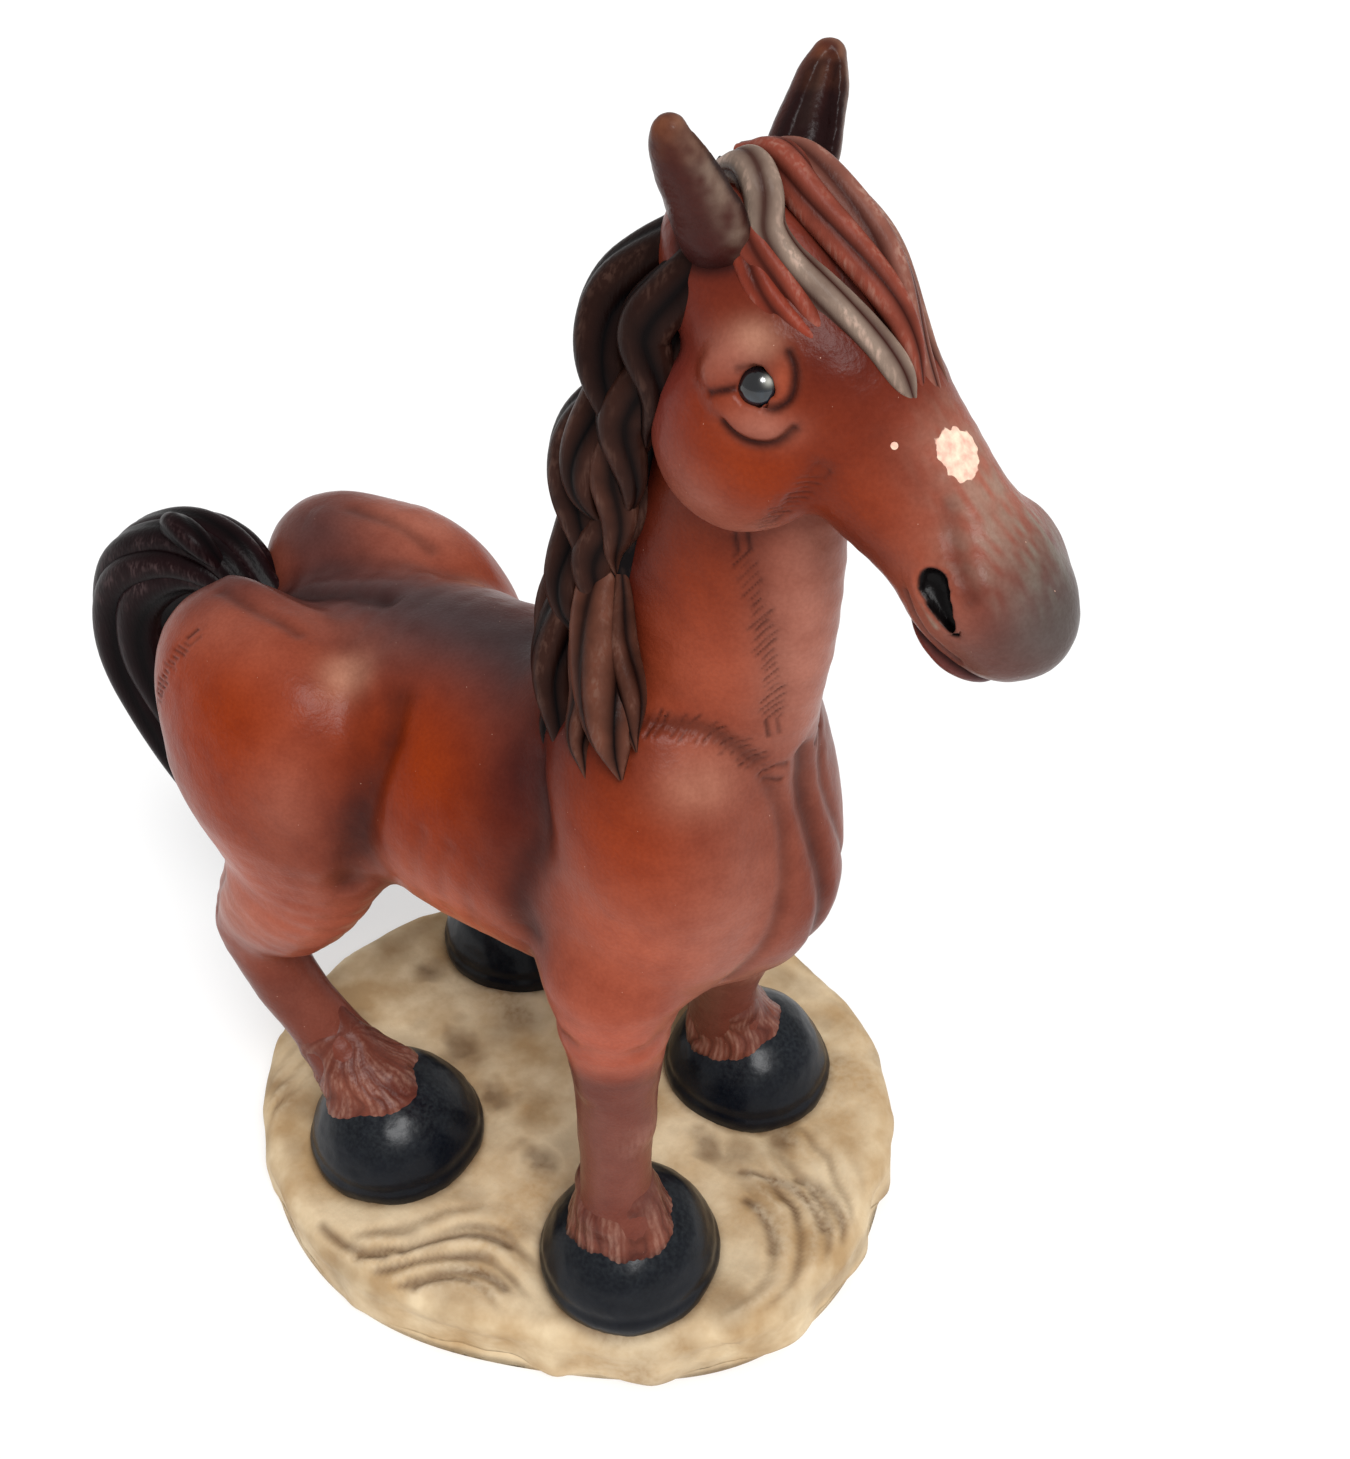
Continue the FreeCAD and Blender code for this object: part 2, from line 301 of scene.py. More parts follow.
def surface_nets(distance, low, step):
    """Vertices and outward quads of the surface where the distance is zero."""
    inside = distance < 0
    size = distance.shape
    count = np.zeros([n - 1 for n in size], np.uint8)
    for i, j, k in CELL_CORNERS:
        count += inside[i:size[0] - 1 + i, j:size[1] - 1 + j, k:size[2] - 1 + k]
    cells = np.argwhere((count > 0) & (count < 8))
    numbers = np.full(count.shape, -1, np.int32)
    numbers[tuple(cells.T)] = np.arange(len(cells))
    values = [distance[tuple((cells + corner).T)].astype(float) for corner in CELL_CORNERS]
    total = np.zeros((len(cells), 3))
    crossings = np.zeros(len(cells))
    for a, b in CELL_EDGES:
        crossed = (values[a] < 0) != (values[b] < 0)
        t = (values[a] / np.where(crossed, values[a] - values[b], 1))[crossed]
        start, end = np.array(CELL_CORNERS[a], float), np.array(CELL_CORNERS[b], float)
        total[crossed] += start + (end - start) * t[:, None]
        crossings[crossed] += 1
    vertices = (cells + total / crossings[:, None]) * step + np.array(low)
    quads = []
    for axis in range(3):
        first = [slice(1, n - 1) for n in size]
        second = list(first)
        first[axis] = slice(0, size[axis] - 1)
        second[axis] = slice(1, size[axis])
        edges = np.argwhere(inside[tuple(first)] != inside[tuple(second)])
        leaves = inside[tuple(first)][tuple(edges.T)]
        offset = np.array([1, 1, 1])
        offset[axis] = 0
        edges = edges + offset
        u, v = [(1, 2), (2, 0), (0, 1)][axis]
        ring = []
        for du, dv in ((0, 0), (1, 0), (1, 1), (0, 1)):
            cell = edges.copy()
            cell[:, u] -= du
            cell[:, v] -= dv
            ring.append(numbers[tuple(cell.T)])
        quad = np.stack(ring, 1)
        quad[~leaves] = quad[~leaves][:, ::-1]
        quads.append(quad)
    return vertices, np.vstack(quads)


def sample(grid, low, step, points):
    """Reads a grid at any points, blending the eight values around each."""
    place = (points - np.array(low)) / step
    base = np.clip(np.floor(place).astype(int), 0, np.array(grid.shape) - 2)
    part = np.clip(place - base, 0, 1)
    result = np.zeros(len(points))
    for corner in CELL_CORNERS:
        weight = np.prod([part[:, k] if corner[k] else 1 - part[:, k] for k in range(3)], axis=0)
        result += weight * grid[tuple((base + corner).T)]
    return result


# %% Splitting quads for a finer skin
def refine(vertices, quads):
    """Each quad becomes four, and the new vertices are rounded as on a subdivision surface."""
    edges = np.vstack([quads[:, [k, (k + 1) % 4]] for k in range(4)])
    keys = np.sort(edges, 1)
    unique, edge_of = np.unique(keys[:, 0].astype(np.int64) * len(vertices) + keys[:, 1],
                                return_inverse=True)
    ends = np.stack([unique // len(vertices), unique % len(vertices)], 1)
    centres = vertices[quads].mean(1)
    faces_at_edge = np.zeros((len(ends), 3))
    face_count = np.zeros(len(ends))
    np.add.at(faces_at_edge, edge_of, np.tile(centres, (4, 1)))
    np.add.at(face_count, edge_of, 1)
    middles = (vertices[ends].sum(1) + faces_at_edge) / (2 + face_count)[:, None]
    first_edge = len(vertices)
    first_centre = first_edge + len(ends)
    edge_of = edge_of.reshape(4, -1).T + first_edge
    centre_of = np.arange(len(quads)) + first_centre
    small = [np.stack([quads[:, k], edge_of[:, k], centre_of, edge_of[:, k - 1]], 1) for k in range(4)]
    valence = np.zeros(len(vertices))
    face_sum = np.zeros((len(vertices), 3))
    edge_sum = np.zeros((len(vertices), 3))
    edge_count = np.zeros(len(vertices))
    for k in range(4):
        np.add.at(face_sum, quads[:, k], centres)
        np.add.at(valence, quads[:, k], 1)
    for k in range(2):
        np.add.at(edge_sum, ends[:, k], vertices[ends].mean(1))
        np.add.at(edge_count, ends[:, k], 1)
    # a vertex that no quad uses stays where it is
    n = np.maximum(valence, 1)[:, None]
    edge_mean = edge_sum / np.maximum(edge_count, 1)[:, None]
    rounded = (face_sum / n + 2 * edge_mean + (n - 3) * vertices) / n
    moved = np.where(valence[:, None] > 0, rounded, vertices)
    return np.vstack([moved, middles, centres]), np.vstack(small)


def vertex_normals(vertices, quads):
    across = np.cross(vertices[quads[:, 2]] - vertices[quads[:, 0]],
                      vertices[quads[:, 3]] - vertices[quads[:, 1]])
    total = np.zeros_like(vertices)
    for k in range(4):
        np.add.at(total, quads[:, k], across)
    return total / (np.linalg.norm(total, axis=1)[:, None] + 1e-12)


# %% [markdown]
# ## Repeatable roughness
#
# Hand work is never perfectly smooth. A value noise made from a small lattice of random numbers, with a
# fixed seed, gives the same lumps every time the lesson is run.

# %% Noise
LATTICE = 32
KEEPS_POSITIVE = 500.0


def noise(points, size, seed):
    """Smooth random values between -1 and 1; size is the width of a lump in millimetres."""
    lattice = np.random.default_rng(seed).uniform(-1, 1, (LATTICE, LATTICE, LATTICE))
    place = points / size + KEEPS_POSITIVE
    base = np.floor(place).astype(int)
    part = place - base
    part = part * part * (3 - 2 * part)
    result = np.zeros(len(points))
    for corner in CELL_CORNERS:
        weight = np.prod([part[:, k] if corner[k] else 1 - part[:, k] for k in range(3)], axis=0)
        index = (base + corner) % LATTICE
        result += weight * lattice[index[:, 0], index[:, 1], index[:, 2]]
    return result

# %% [markdown]
# ## The horse's masses
#
# The trunk is one long limb, the rump and shoulders are domes on each side, and the legs run down from them.
# The left shoulder is tucked in and the left thigh is set back, because the horse shifts its weight.
# Numbers are millimetres: x, y, z, half width, half depth.

# %% Trunk, rump, shoulders and neck
TUCKED_IN = {"left": 3.2, "right": 0.0}
SET_BACK = {"left": 4.0, "right": 0.0}
TRUNK = [
    (-36, 0, 67, 8, 10), (-30, 0, 66, 12, 13.5), (-20, 0, 66.5, 15, 16), (-8, 0, 66.6, 16.5, 17.2),
    (4, 0, 67.2, 16.5, 16.8), (14, 0, 69, 14.5, 16.5), (21, 0, 71, 10.5, 13.5),
]
NECK = [
    (13.5, 0, 80, 10, 14), (16.5, 0, 90, 8.4, 12.4), (19.4, 0, 101, 7.3, 10.9), (21.4, 0, 112, 6.6, 9.0),
    (23, 0, 121, 6.2, 7.5),
]


def model_trunk(clay):
    clay.limb("barrel", TRUNK, blend=0.1)
    for side, sign in SIDES.items():
        front = -26 - SET_BACK[side]
        name = "hindquarter_" + side
        clay.ball(name, (front - 2, sign * 11, 66), (16, 11.5, 16.5), turned(pitch=-6), blend=2.2)
        clay.ball(name, (front - 10, sign * 9.5, 71.5), (9.5, 8.5, 10.5), blend=3)
        clay.limb(name, [(front + 1, sign * 13, 60, 8, 11), (front, sign * 14.3, 52, 6.6, 8.6),
                         (front - 4, sign * 15.5, 45, 5.3, 6.8)], blend=4)
        spread = 8.3 - TUCKED_IN[side]
        name = "shoulder_" + side
        clay.ball(name, (17.5, sign * spread, 77), (10.5, 8, 15), turned(pitch=12), blend=3)
        clay.ball(name, (16.5, sign * (spread + 1), 66), (8.8, 6.4, 9), blend=3)
    clay.limb("neck", NECK, blend=5)


# %% Legs
LEGS = {
    "fore_left": [
        (15, 10, 60, 6.5, 7), (14, 12.5, 47, 4.5, 4.7), (12, 14.5, 36, 4, 4.1), (10, 16.5, 27, 3.9, 4),
        (9.5, 18, 21, 4.6, 5), (10, 19, 16, 5.4, 5.6),
    ],
    "fore_right": [
        (15.5, -12, 60, 6.5, 7.2), (15.8, -12.2, 47, 4.6, 4.8), (15.5, -12.2, 36, 4.0, 4.1),
        (15.2, -12.1, 27, 3.9, 4.0), (15.2, -11.9, 21, 4.6, 5.0), (15.6, -11.6, 16, 5.4, 5.6),
    ],
    "hind_left": [
        (-33, 15, 48, 5.5, 7), (-38, 16, 39, 4.4, 5.2), (-36, 18, 31, 3.9, 4.3), (-33, 19, 24.5, 3.9, 4.1),
        (-30, 19.6, 19.5, 4.8, 5), (-28, 20, 16, 5.2, 5.4),
    ],
    "hind_right": [
        (-29, -15, 48, 5.5, 7), (-34.8, -16, 39, 4.4, 5.2), (-32.3, -15.8, 31, 3.9, 4.3),
        (-27.6, -15.2, 24.5, 3.9, 4.1), (-23, -15, 19.5, 4.8, 5), (-20, -14.8, 16, 5.2, 5.4),
    ],
}


def model_legs(clay):
    for corner in CORNERS:
        clay.limb("leg_" + corner, LEGS[corner], blend=3)


# %% [markdown]
# ## Carving
#
# The broad forms come from the clay; the fine ones are pressed into the finished skin. A *line* is a path
# in space, and every vertex near it is pushed in (or pulled out) by a rounded profile. The same distance
# also says where dark wash would collect, so that carving and painting always agree. Rows of short knife
# marks, which stand for hair, are one line each: the depth follows a wave along the path.

# %% Carving tools
KNIFE_WIDTH = 0.22  # of the pitch between two cuts
KNIFE_DRAWS = 512


class Skin:
    """The vertices of one sculpted skin, with the paint masks that belong to them."""

    def __init__(self, vertices, quads):
        self.vertices = vertices
        self.quads = quads
        self.normals = vertex_normals(vertices, quads)
        self.offset = np.zeros(len(vertices))
        self.wash = np.zeros(len(vertices))
        self.rub = np.zeros(len(vertices))

    def near(self, path, reach):
        """Vertices near a path: their numbers, distance, side offset vector and place along it (mm)."""
        low = path.min(0) - reach
        high = path.max(0) + reach
        inside = np.all((self.vertices > low) & (self.vertices < high), axis=1)
        numbers = np.nonzero(inside)[0]
        points = self.vertices[numbers]
        best = np.full(len(points), 1e9)
        along = np.zeros(len(points))
        away = np.zeros((len(points), 3))
        travelled = 0.0
        for start, end in zip(path[:-1], path[1:]):
            length = np.linalg.norm(end - start) + 1e-9
            direction = (end - start) / length
            t = np.clip((points - start) @ direction, 0, length)
            offset = points - start - t[:, None] * direction
            distance = np.linalg.norm(offset, axis=1)
            closer = distance < best
            best[closer] = distance[closer]
            along[closer] = travelled + t[closer]
            away[closer] = offset[closer]
            travelled += length
        keep = best < reach
        return numbers[keep], best[keep], away[keep], along[keep], travelled

    def line(self, points, width, depth, wash=0.0, rub=0.0):
        """Presses a rounded groove along a path; a negative depth raises a ridge."""
        path = smooth_path(points, 6)
        numbers, distance, _, along, length = self.near(path, 3 * width)
        ends = np.clip(np.minimum(along, length - along) / (width + 1e-6), 0, 1)
        profile = np.exp(-(distance / width) ** 2) * (0.15 + 0.85 * ends)
        self.offset[numbers] -= depth * profile
        self.wash[numbers] = np.maximum(self.wash[numbers], wash * profile)
        self.rub[numbers] = np.maximum(self.rub[numbers], rub * profile)

    def knife_row(self, points, half_length, pitch, depth, seed, lean=0.0, wash=0.75):
        """Short parallel cuts across a path, uneven as hand work is."""
        path = smooth_path(points, 6)
        numbers, distance, away, along, length = self.near(path, half_length * 1.4)
        across = np.cross(self.normals[numbers], unit(path[-1] - path[0]))
        sideways = (away * across).sum(1)
        place = along + lean * sideways
        stroke = np.floor(place / pitch).astype(int)
        draws = np.random.default_rng(seed).uniform(0, 1, (3, KNIFE_DRAWS))[:, stroke % KNIFE_DRAWS]
        reach = half_length * (0.55 + 0.6 * draws[0])
        strength = 0.5 + 0.5 * draws[1]
        phase = (place / pitch - stroke - 0.5) + 0.25 * (draws[2] - 0.5)
        cut = strength * np.exp(-(phase / KNIFE_WIDTH) ** 2)
        cut *= np.clip((reach - np.abs(sideways)) / 0.4, 0, 1)
        self.offset[numbers] -= depth * cut
        self.wash[numbers] = np.maximum(self.wash[numbers], wash * cut)

    def dent(self, centre, radius, depth, wash=0.0, rub=0.0):
        """Presses in (or with a negative depth pulls out) a soft round place."""
        distance = np.linalg.norm(self.vertices - np.array(centre, float), axis=1)
        profile = np.exp(-(distance / radius) ** 2)
        self.offset -= depth * profile
        self.wash = np.maximum(self.wash, wash * profile)
        self.rub = np.maximum(self.rub, rub * profile)

    def finish(self):
        """Moves the vertices by everything that was carved."""
        self.vertices = self.vertices + self.normals * self.offset[:, None]
        self.normals = vertex_normals(self.vertices, self.quads)


def mirrored(points):
    return [(x, -y, z) for x, y, z in points]


# %% [markdown]
# ## Airbrush and brush
#
# The painter sprays soft clouds of colour over a brown coat, then wipes dark paint into the hollows and
# drags a nearly dry pale brush over the ridges. A cloud is a point with a radius; hollows and ridges come
# from comparing the clay with a blurred copy of itself, which is positive on what stands out.

# %% Paint tools
def display_colour(red, green, blue):
    """A colour as a screen shows it (0 to 255), turned into the linear values that shaders use."""
    scaled = np.array([red, green, blue], float) / 255.0
    return np.where(scaled <= 0.04045, scaled / 12.92, ((scaled + 0.055) / 1.055) ** 2.4)


def blurred(grid, reach):
    """A box blur over the grid along all three axes."""
    result = grid.astype(np.float32)
    for axis in range(3):
        padding = [(0, 0)] * 3
        padding[axis] = (reach + 1, reach)
        total = np.cumsum(np.pad(result, padding, mode="edge"), axis=axis, dtype=np.float64)
        ahead = [slice(None)] * 3
        behind = [slice(None)] * 3
        ahead[axis] = slice(2 * reach + 1, None)
        behind[axis] = slice(0, -(2 * reach + 1))
        result = ((total[tuple(ahead)] - total[tuple(behind)]) / (2 * reach + 1)).astype(np.float32)
    return result


def standing_out(clay, points, reach_mm):
    """Positive on ridges and negative in hollows that are about reach_mm wide."""
    reach = max(int(round(reach_mm / clay.step)), 1)
    return sample(blurred(clay.distance, reach), clay.low, clay.step, points) / reach_mm


def cloud(paint, points, colour, centre, radius, strength=1.0, both_sides=True):
    """Sprays a soft cloud of colour over the paint; radius may differ along x, y and z."""
    radius = np.broadcast_to(np.array(radius, float), 3)
    for sign in ((1, -1) if both_sides else (1,)):
        middle = np.array([centre[0], centre[1] * sign, centre[2]], float)
        amount = strength * np.exp(-(((points - middle) / radius) ** 2).sum(1))
        paint += (colour - paint) * amount[:, None]


def spray(paint, points, clouds):
    """Sprays one cloud after the other; each row holds colour, centre, radius and strength."""
    for colour, centre, radius, strength in clouds:
        cloud(paint, points, colour, centre, radius, strength)


def blend_to(paint, colour, amount):
    paint += (colour - paint) * np.clip(amount, 0, 1)[:, None]


# %% [markdown]
# ## Handing a skin to Blender
#
# Each piece of the horse is the group of quads that its mass owns. The open border is closed by a hidden
# cap inside the body, so that every piece is a closed solid like its packed twin, and the normals come from
# the whole skin, so that the shading runs across the borders without a break.

# %% Make meshes
CAP_DEPTH = 4.0


def new_object(name, mesh):
    piece = bpy.data.objects.new(name, mesh)
    bpy.context.collection.objects.link(piece)
    return piece


def write_attribute(mesh, name, values):
    """Stores one number or one colour per vertex under a name that materials can read."""
    values = np.asarray(values, np.float32)
    if values.ndim == 1:
        mesh.attributes.new(name, "FLOAT", "POINT").data.foreach_set("value", values)
        return
    colours = np.ones((len(values), 4), np.float32)
    colours[:, :3] = values
    mesh.attributes.new(name, "FLOAT_COLOR", "POINT").data.foreach_set("color", colours.ravel())


def make_mesh(name, vertices, faces, normals=None, masks=None):
    """A mesh in metres from millimetre vertices and quads, with its paint masks."""
    mesh = bpy.data.meshes.new(name)
    mesh.vertices.add(len(vertices))
    mesh.vertices.foreach_set("co", (vertices * MM).astype(np.float32).ravel())
    mesh.loops.add(faces.size)
    mesh.loops.foreach_set("vertex_index", faces.astype(np.int32).ravel())
    mesh.polygons.add(len(faces))
    mesh.polygons.foreach_set("loop_start", np.arange(0, faces.size, faces.shape[1], dtype=np.int32))
    mesh.update(calc_edges=True)
    for key, values in (masks or {}).items():
        write_attribute(mesh, key, values)
    mesh.polygons.foreach_set("use_smooth", np.ones(len(faces), bool))
    if normals is not None:
        close_border(mesh, normals)
    return new_object(name, mesh)


def close_border(mesh, normals):
    """Closes each open border with a fan to a point inside, and keeps the given normals on the skin."""
    work = bmesh.new()
    work.from_mesh(mesh)
    work.verts.ensure_lookup_table()
    waiting = {edge for edge in work.edges if edge.is_boundary}
    normals = list(normals)
    while waiting:
        border = set()
        reached = [waiting.pop()]
        while reached:
            edge = reached.pop()
            border.add(edge)
            for vertex in edge.verts:
                fresh = [other for other in vertex.link_edges if other in waiting]
                waiting.difference_update(fresh)
                reached.extend(fresh)
        rim = list({vertex for edge in border for vertex in edge.verts})
        outwards = np.mean([normals[vertex.index] for vertex in rim], axis=0)
        middle = np.mean([vertex.co for vertex in rim], axis=0) - outwards * CAP_DEPTH * MM
        centre = work.verts.new(middle)
        for edge in border:
            start = edge.link_loops[0].vert
            end = edge.other_vert(start)
            work.faces.new((end, start, centre)).smooth = True
        normals.append(-outwards)
    work.verts.index_update()
    work.to_mesh(mesh)
    work.free()
    mesh.normals_split_custom_set_from_vertices(np.array(normals, np.float32))


def take_part(skin, wanted):
    """The quads with the wanted flag, renumbered: vertices, quads and the numbers of the old vertices."""
    quads = skin.quads[wanted]
    used = np.unique(quads)
    numbers = np.full(len(skin.vertices), -1)
    numbers[used] = np.arange(len(used))
    return skin.vertices[used], numbers[quads], used


def settle(piece, material, slot, *nodes):
    """Gives a finished piece its paint, hides the nodes that it stands for and makes it move with the root
    body.
    """
    piece.data.materials.clear()
    piece.data.materials.append(material)
    if nodes:
        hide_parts(*nodes)
    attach(piece, "root")

# %% [markdown]
# ## Node trees written as sums
#
# Paint is mostly arithmetic: *cream, times the wash, plus a little noise*. So that the lesson can write it
# that way, a small class wraps a node's output and turns +, - and * into Math nodes. All other nodes come
# from one method, which takes the node's type, its settings and what goes into its sockets.

# %% Node helpers
class Wire:
    """A node's output that can be used in arithmetic."""

    def __init__(self, nodes, socket):
        self.nodes = nodes
        self.socket = socket

    def math(self, operation, first, second=None):
        inputs = {0: first} if second is None else {0: first, 1: second}
        return self.nodes.add("ShaderNodeMath", {"operation": operation}, inputs)

    def __add__(self, other):
        return self.math("ADD", self, other)

    def __radd__(self, other):
        return self.math("ADD", other, self)

    def __sub__(self, other):
        return self.math("SUBTRACT", self, other)

    def __rsub__(self, other):
        return self.math("SUBTRACT", other, self)

    def __mul__(self, other):
        return self.math("MULTIPLY", self, other)

    def __rmul__(self, other):
        return self.math("MULTIPLY", other, self)

    def sine(self):
        return self.math("SINE", self)

    def clamped(self):
        return self.nodes.add("ShaderNodeClamp", {}, {"Value": self})

    def between(self, low, high):
        """0 below low, 1 above high and a straight ramp between them."""
        return self.nodes.add("ShaderNodeMapRange", {}, {"Value": self, "From Min": low, "From Max": high})


class Nodes:
    """Adds nodes to a tree."""

    def __init__(self, tree):
        self.tree = tree

    def add(self, kind, settings=None, inputs=None, output=0):
        node = self.tree.nodes.new(kind)
        for key, value in (settings or {}).items():
            if key == "stops":
                self.set_stops(node.color_ramp, value)
            else:
                setattr(node, key, value)
        for key, value in (inputs or {}).items():
            socket = node.inputs[key]
            if isinstance(value, Wire):
                self.tree.links.new(value.socket, socket)
            else:
                socket.default_value = value
        return Wire(self, node.outputs[output])

    @staticmethod
    def set_stops(ramp, stops):
        while len(ramp.elements) < len(stops):
            ramp.elements.new(0.5)
        for element, (place, colour) in zip(ramp.elements, stops):
            element.position = place
            element.color = colour


# %% [markdown]
# ## Paint as a shader
#
# Every painted finish is the same recipe with other colours: a coat, speckles from the airbrush, a dark wash
# where the mask says *hollow*, a pale rub where it says *ridge*, a satin lacquer over it all, and a little
# grain in the surface. The patterns are laid out in object space, in millimetres.

# %% Paint shader
# places of the colour sockets on a Mix node, which has three sockets of each name
MIX_AMOUNT, MIX_FIRST, MIX_SECOND = 0, 6, 7
MIX_COLOUR_RESULT = 2


def rgba(colour):
    return (float(colour[0]), float(colour[1]), float(colour[2]), 1.0)


class Paint(Nodes):
    """One painted finish."""

    def __init__(self, name):
        self.material = bpy.data.materials.new(name)
        self.material.use_nodes = True
        super().__init__(self.material.node_tree)
        self.tree.nodes.clear()
        self.place = self.add("ShaderNodeTexCoord", output="Object")

    def noise(self, size, detail=2.0, stretch=(1, 1, 1)):
        """Cloudy values from 0 to 1; size is in millimetres."""
        scaled = self.add("ShaderNodeVectorMath", {"operation": "MULTIPLY"},
                          {0: self.place, 1: tuple(1 / (size * MM * s) for s in stretch)})
        return self.add("ShaderNodeTexNoise", {}, {"Vector": scaled, "Scale": 1.0, "Detail": detail})

    def mask(self, name):
        return self.add("ShaderNodeAttribute", {"attribute_name": name}, output="Fac")

    def colour_mask(self, name):
        return self.add("ShaderNodeAttribute", {"attribute_name": name}, output="Color")

    def mix(self, amount, first, second, blend="MIX"):
        settings = {"data_type": "RGBA", "blend_type": blend}
        sockets = {MIX_AMOUNT: amount,
                   MIX_FIRST: first if isinstance(first, Wire) else rgba(first),
                   MIX_SECOND: second if isinstance(second, Wire) else rgba(second)}
        return self.add("ShaderNodeMix", settings, sockets, output=MIX_COLOUR_RESULT)

    def finish(self, colour, roughness, grain=None, grain_height=0.02, **constants):
        """Connects the lacquered surface; grain is a height pattern, its height in millimetres."""
        inputs = {"Base Color": colour if isinstance(colour, Wire) else rgba(colour),
                  "Roughness": roughness}
        if grain is not None:
            inputs["Normal"] = self.add("ShaderNodeBump", {}, {
                "Strength": 1.0, "Distance": grain_height * MM, "Height": grain})
        inputs.update({key.replace("_", " "): value for key, value in constants.items()})
        surface = self.add("ShaderNodeBsdfPrincipled", {}, inputs)
        self.add("ShaderNodeOutputMaterial", {}, {"Surface": surface})
        return self.material

    def add(self, kind, settings=None, inputs=None, output=0):
        if kind == "ShaderNodeOutputMaterial":
            node = self.tree.nodes.new(kind)
            self.tree.links.new(inputs["Surface"].socket, node.inputs["Surface"])
            return None
        return super().add(kind, settings, inputs, output)


# %% Colours of the coat
BROWN = display_colour(120, 54, 36)
ORANGE = display_colour(150, 56, 10)
SALMON = display_colour(192, 104, 78)
DUSTY_PINK = display_colour(190, 132, 118)
# pale paint for the dry brush and the specks, also used for painted highlights
PALE_PAINT_AND_HIGHLIGHT = display_colour(222, 178, 156)
SLATE = display_colour(70, 64, 70)
MAROON = display_colour(62, 22, 24)
UMBER = display_colour(38, 14, 12)
NOSE_GREY = display_colour(168, 160, 150)
LIP_GREY = display_colour(92, 92, 94)
BARE_RESIN = display_colour(255, 226, 200)
NEAR_BLACK = display_colour(14, 12, 14)


def coat_paint():
    paint = Paint("coat paint")
    fine = paint.noise(0.35, 3.0)
    brushed = paint.noise(0.5, 4.0, stretch=(1.0, 1.0, 4.0))
    mottle = paint.noise(3.0, 4.0)
    colour = paint.mix(1.0, paint.colour_mask("paint"), (0.84, 0.72, 0.64, 1), "MULTIPLY")
    colour = paint.mix(0.5 * mottle.between(0.4, 0.75), colour, (0.66, 0.5, 0.46, 1), "MULTIPLY")
    colour = paint.mix(0.4 * fine.between(0.35, 0.65), colour, (0.74, 0.66, 0.62, 1), "MULTIPLY")
    wash = (paint.mask("wash") * (0.7 + 0.6 * mottle)).clamped()
    colour = paint.mix(wash, colour, UMBER)
    rub = (paint.mask("rub") * brushed.between(0.3, 0.62)).clamped()
    colour = paint.mix(rub, colour, PALE_PAINT_AND_HIGHLIGHT)
    specks = paint.noise(0.22, 0.0).between(0.9, 0.93) * 0.6
    colour = paint.mix(specks, colour, PALE_PAINT_AND_HIGHLIGHT)
    bare = (paint.mask("bare") + 0.25 * (paint.noise(0.8, 3.0) - 0.5)).between(0.48, 0.56)
    resin = paint.mix(paint.noise(0.6, 3.0).between(0.3, 0.7), BARE_RESIN, display_colour(236, 176, 158))
    colour = paint.mix(bare, colour, resin)
    roughness = 0.26 + 0.1 * mottle + 0.2 * wash + 0.3 * bare
    return paint.finish(colour, roughness, fine + 0.6 * brushed - 2.0 * bare, 0.035,
                        Specular_IOR_Level=0.1)


def hair_paint(name, valley, dark, light, edge, edge_amount):
    """Colours are given as a screen shows them; the tone mask chooses between dark and light."""
    paint = Paint(name)
    strands = paint.noise(0.35, 3.0, stretch=(1.0, 1.0, 5.0))
    mottle = paint.noise(2.2, 3.0)
    ridge = paint.mask("ridge")
    body = paint.mix(paint.mask("tone"), display_colour(*dark), display_colour(*light))
    colour = paint.mix((ridge * (0.35 + mottle)).clamped(), display_colour(*valley), body)
    amount = ridge.between(0.8, 1.0) * strands.between(0.45, 0.6) * mottle.between(0.4, 0.62)
    reach = edge_amount * amount * (0.25 + 0.75 * paint.mask("tone"))
    colour = paint.mix(reach, colour, display_colour(*edge))
    return paint.finish(colour, 0.28 + 0.14 * mottle, strands, 0.05, Specular_IOR_Level=0.06)


def hoof_paint():
    paint = Paint("hoof paint")
    mottle = paint.noise(2.5, 4.0)
    fine = paint.noise(0.5, 3.0)
    colour = paint.mix(mottle, display_colour(3, 4, 9), display_colour(13, 17, 26))
    # pale grey where the rub mask is: partly dry brush, partly a painted highlight on the top of the hoof
    rub = paint.mask("rub") * fine.between(0.35, 0.7)
    colour = paint.mix((0.2 * rub).clamped(), colour, display_colour(78, 86, 88))
    # darker flecks towards the hoof's bottom edge, next to the rock
    darker_low_edge = (paint.mask("wash") * fine.between(0.5, 0.7)).clamped()
    colour = paint.mix(0.5 * darker_low_edge, colour, display_colour(8, 8, 12))
    return paint.finish(colour, 0.26 + 0.1 * fine, fine + mottle, 0.02, Specular_IOR_Level=0.22)


def rock_paint():
    paint = Paint("rock paint")
    mottle = paint.noise(7.0, 4.0)
    fine = paint.noise(0.8, 4.0)
    colour = paint.mix(mottle.between(0.35, 0.65), display_colour(226, 204, 168),
                       display_colour(184, 152, 110))
    colour = paint.mix(0.25 * fine, colour, display_colour(150, 122, 86))
    wash = (paint.mask("wash") * (0.55 + 0.9 * mottle)).clamped()
    colour = paint.mix(wash, colour, display_colour(92, 64, 38))
    rub = paint.mask("rub") * fine.between(0.3, 0.6)
    colour = paint.mix((0.8 * rub).clamped(), colour, display_colour(226, 208, 178))
    return paint.finish(colour, 0.62 + 0.15 * fine, fine, 0.08, Specular_IOR_Level=0.25)


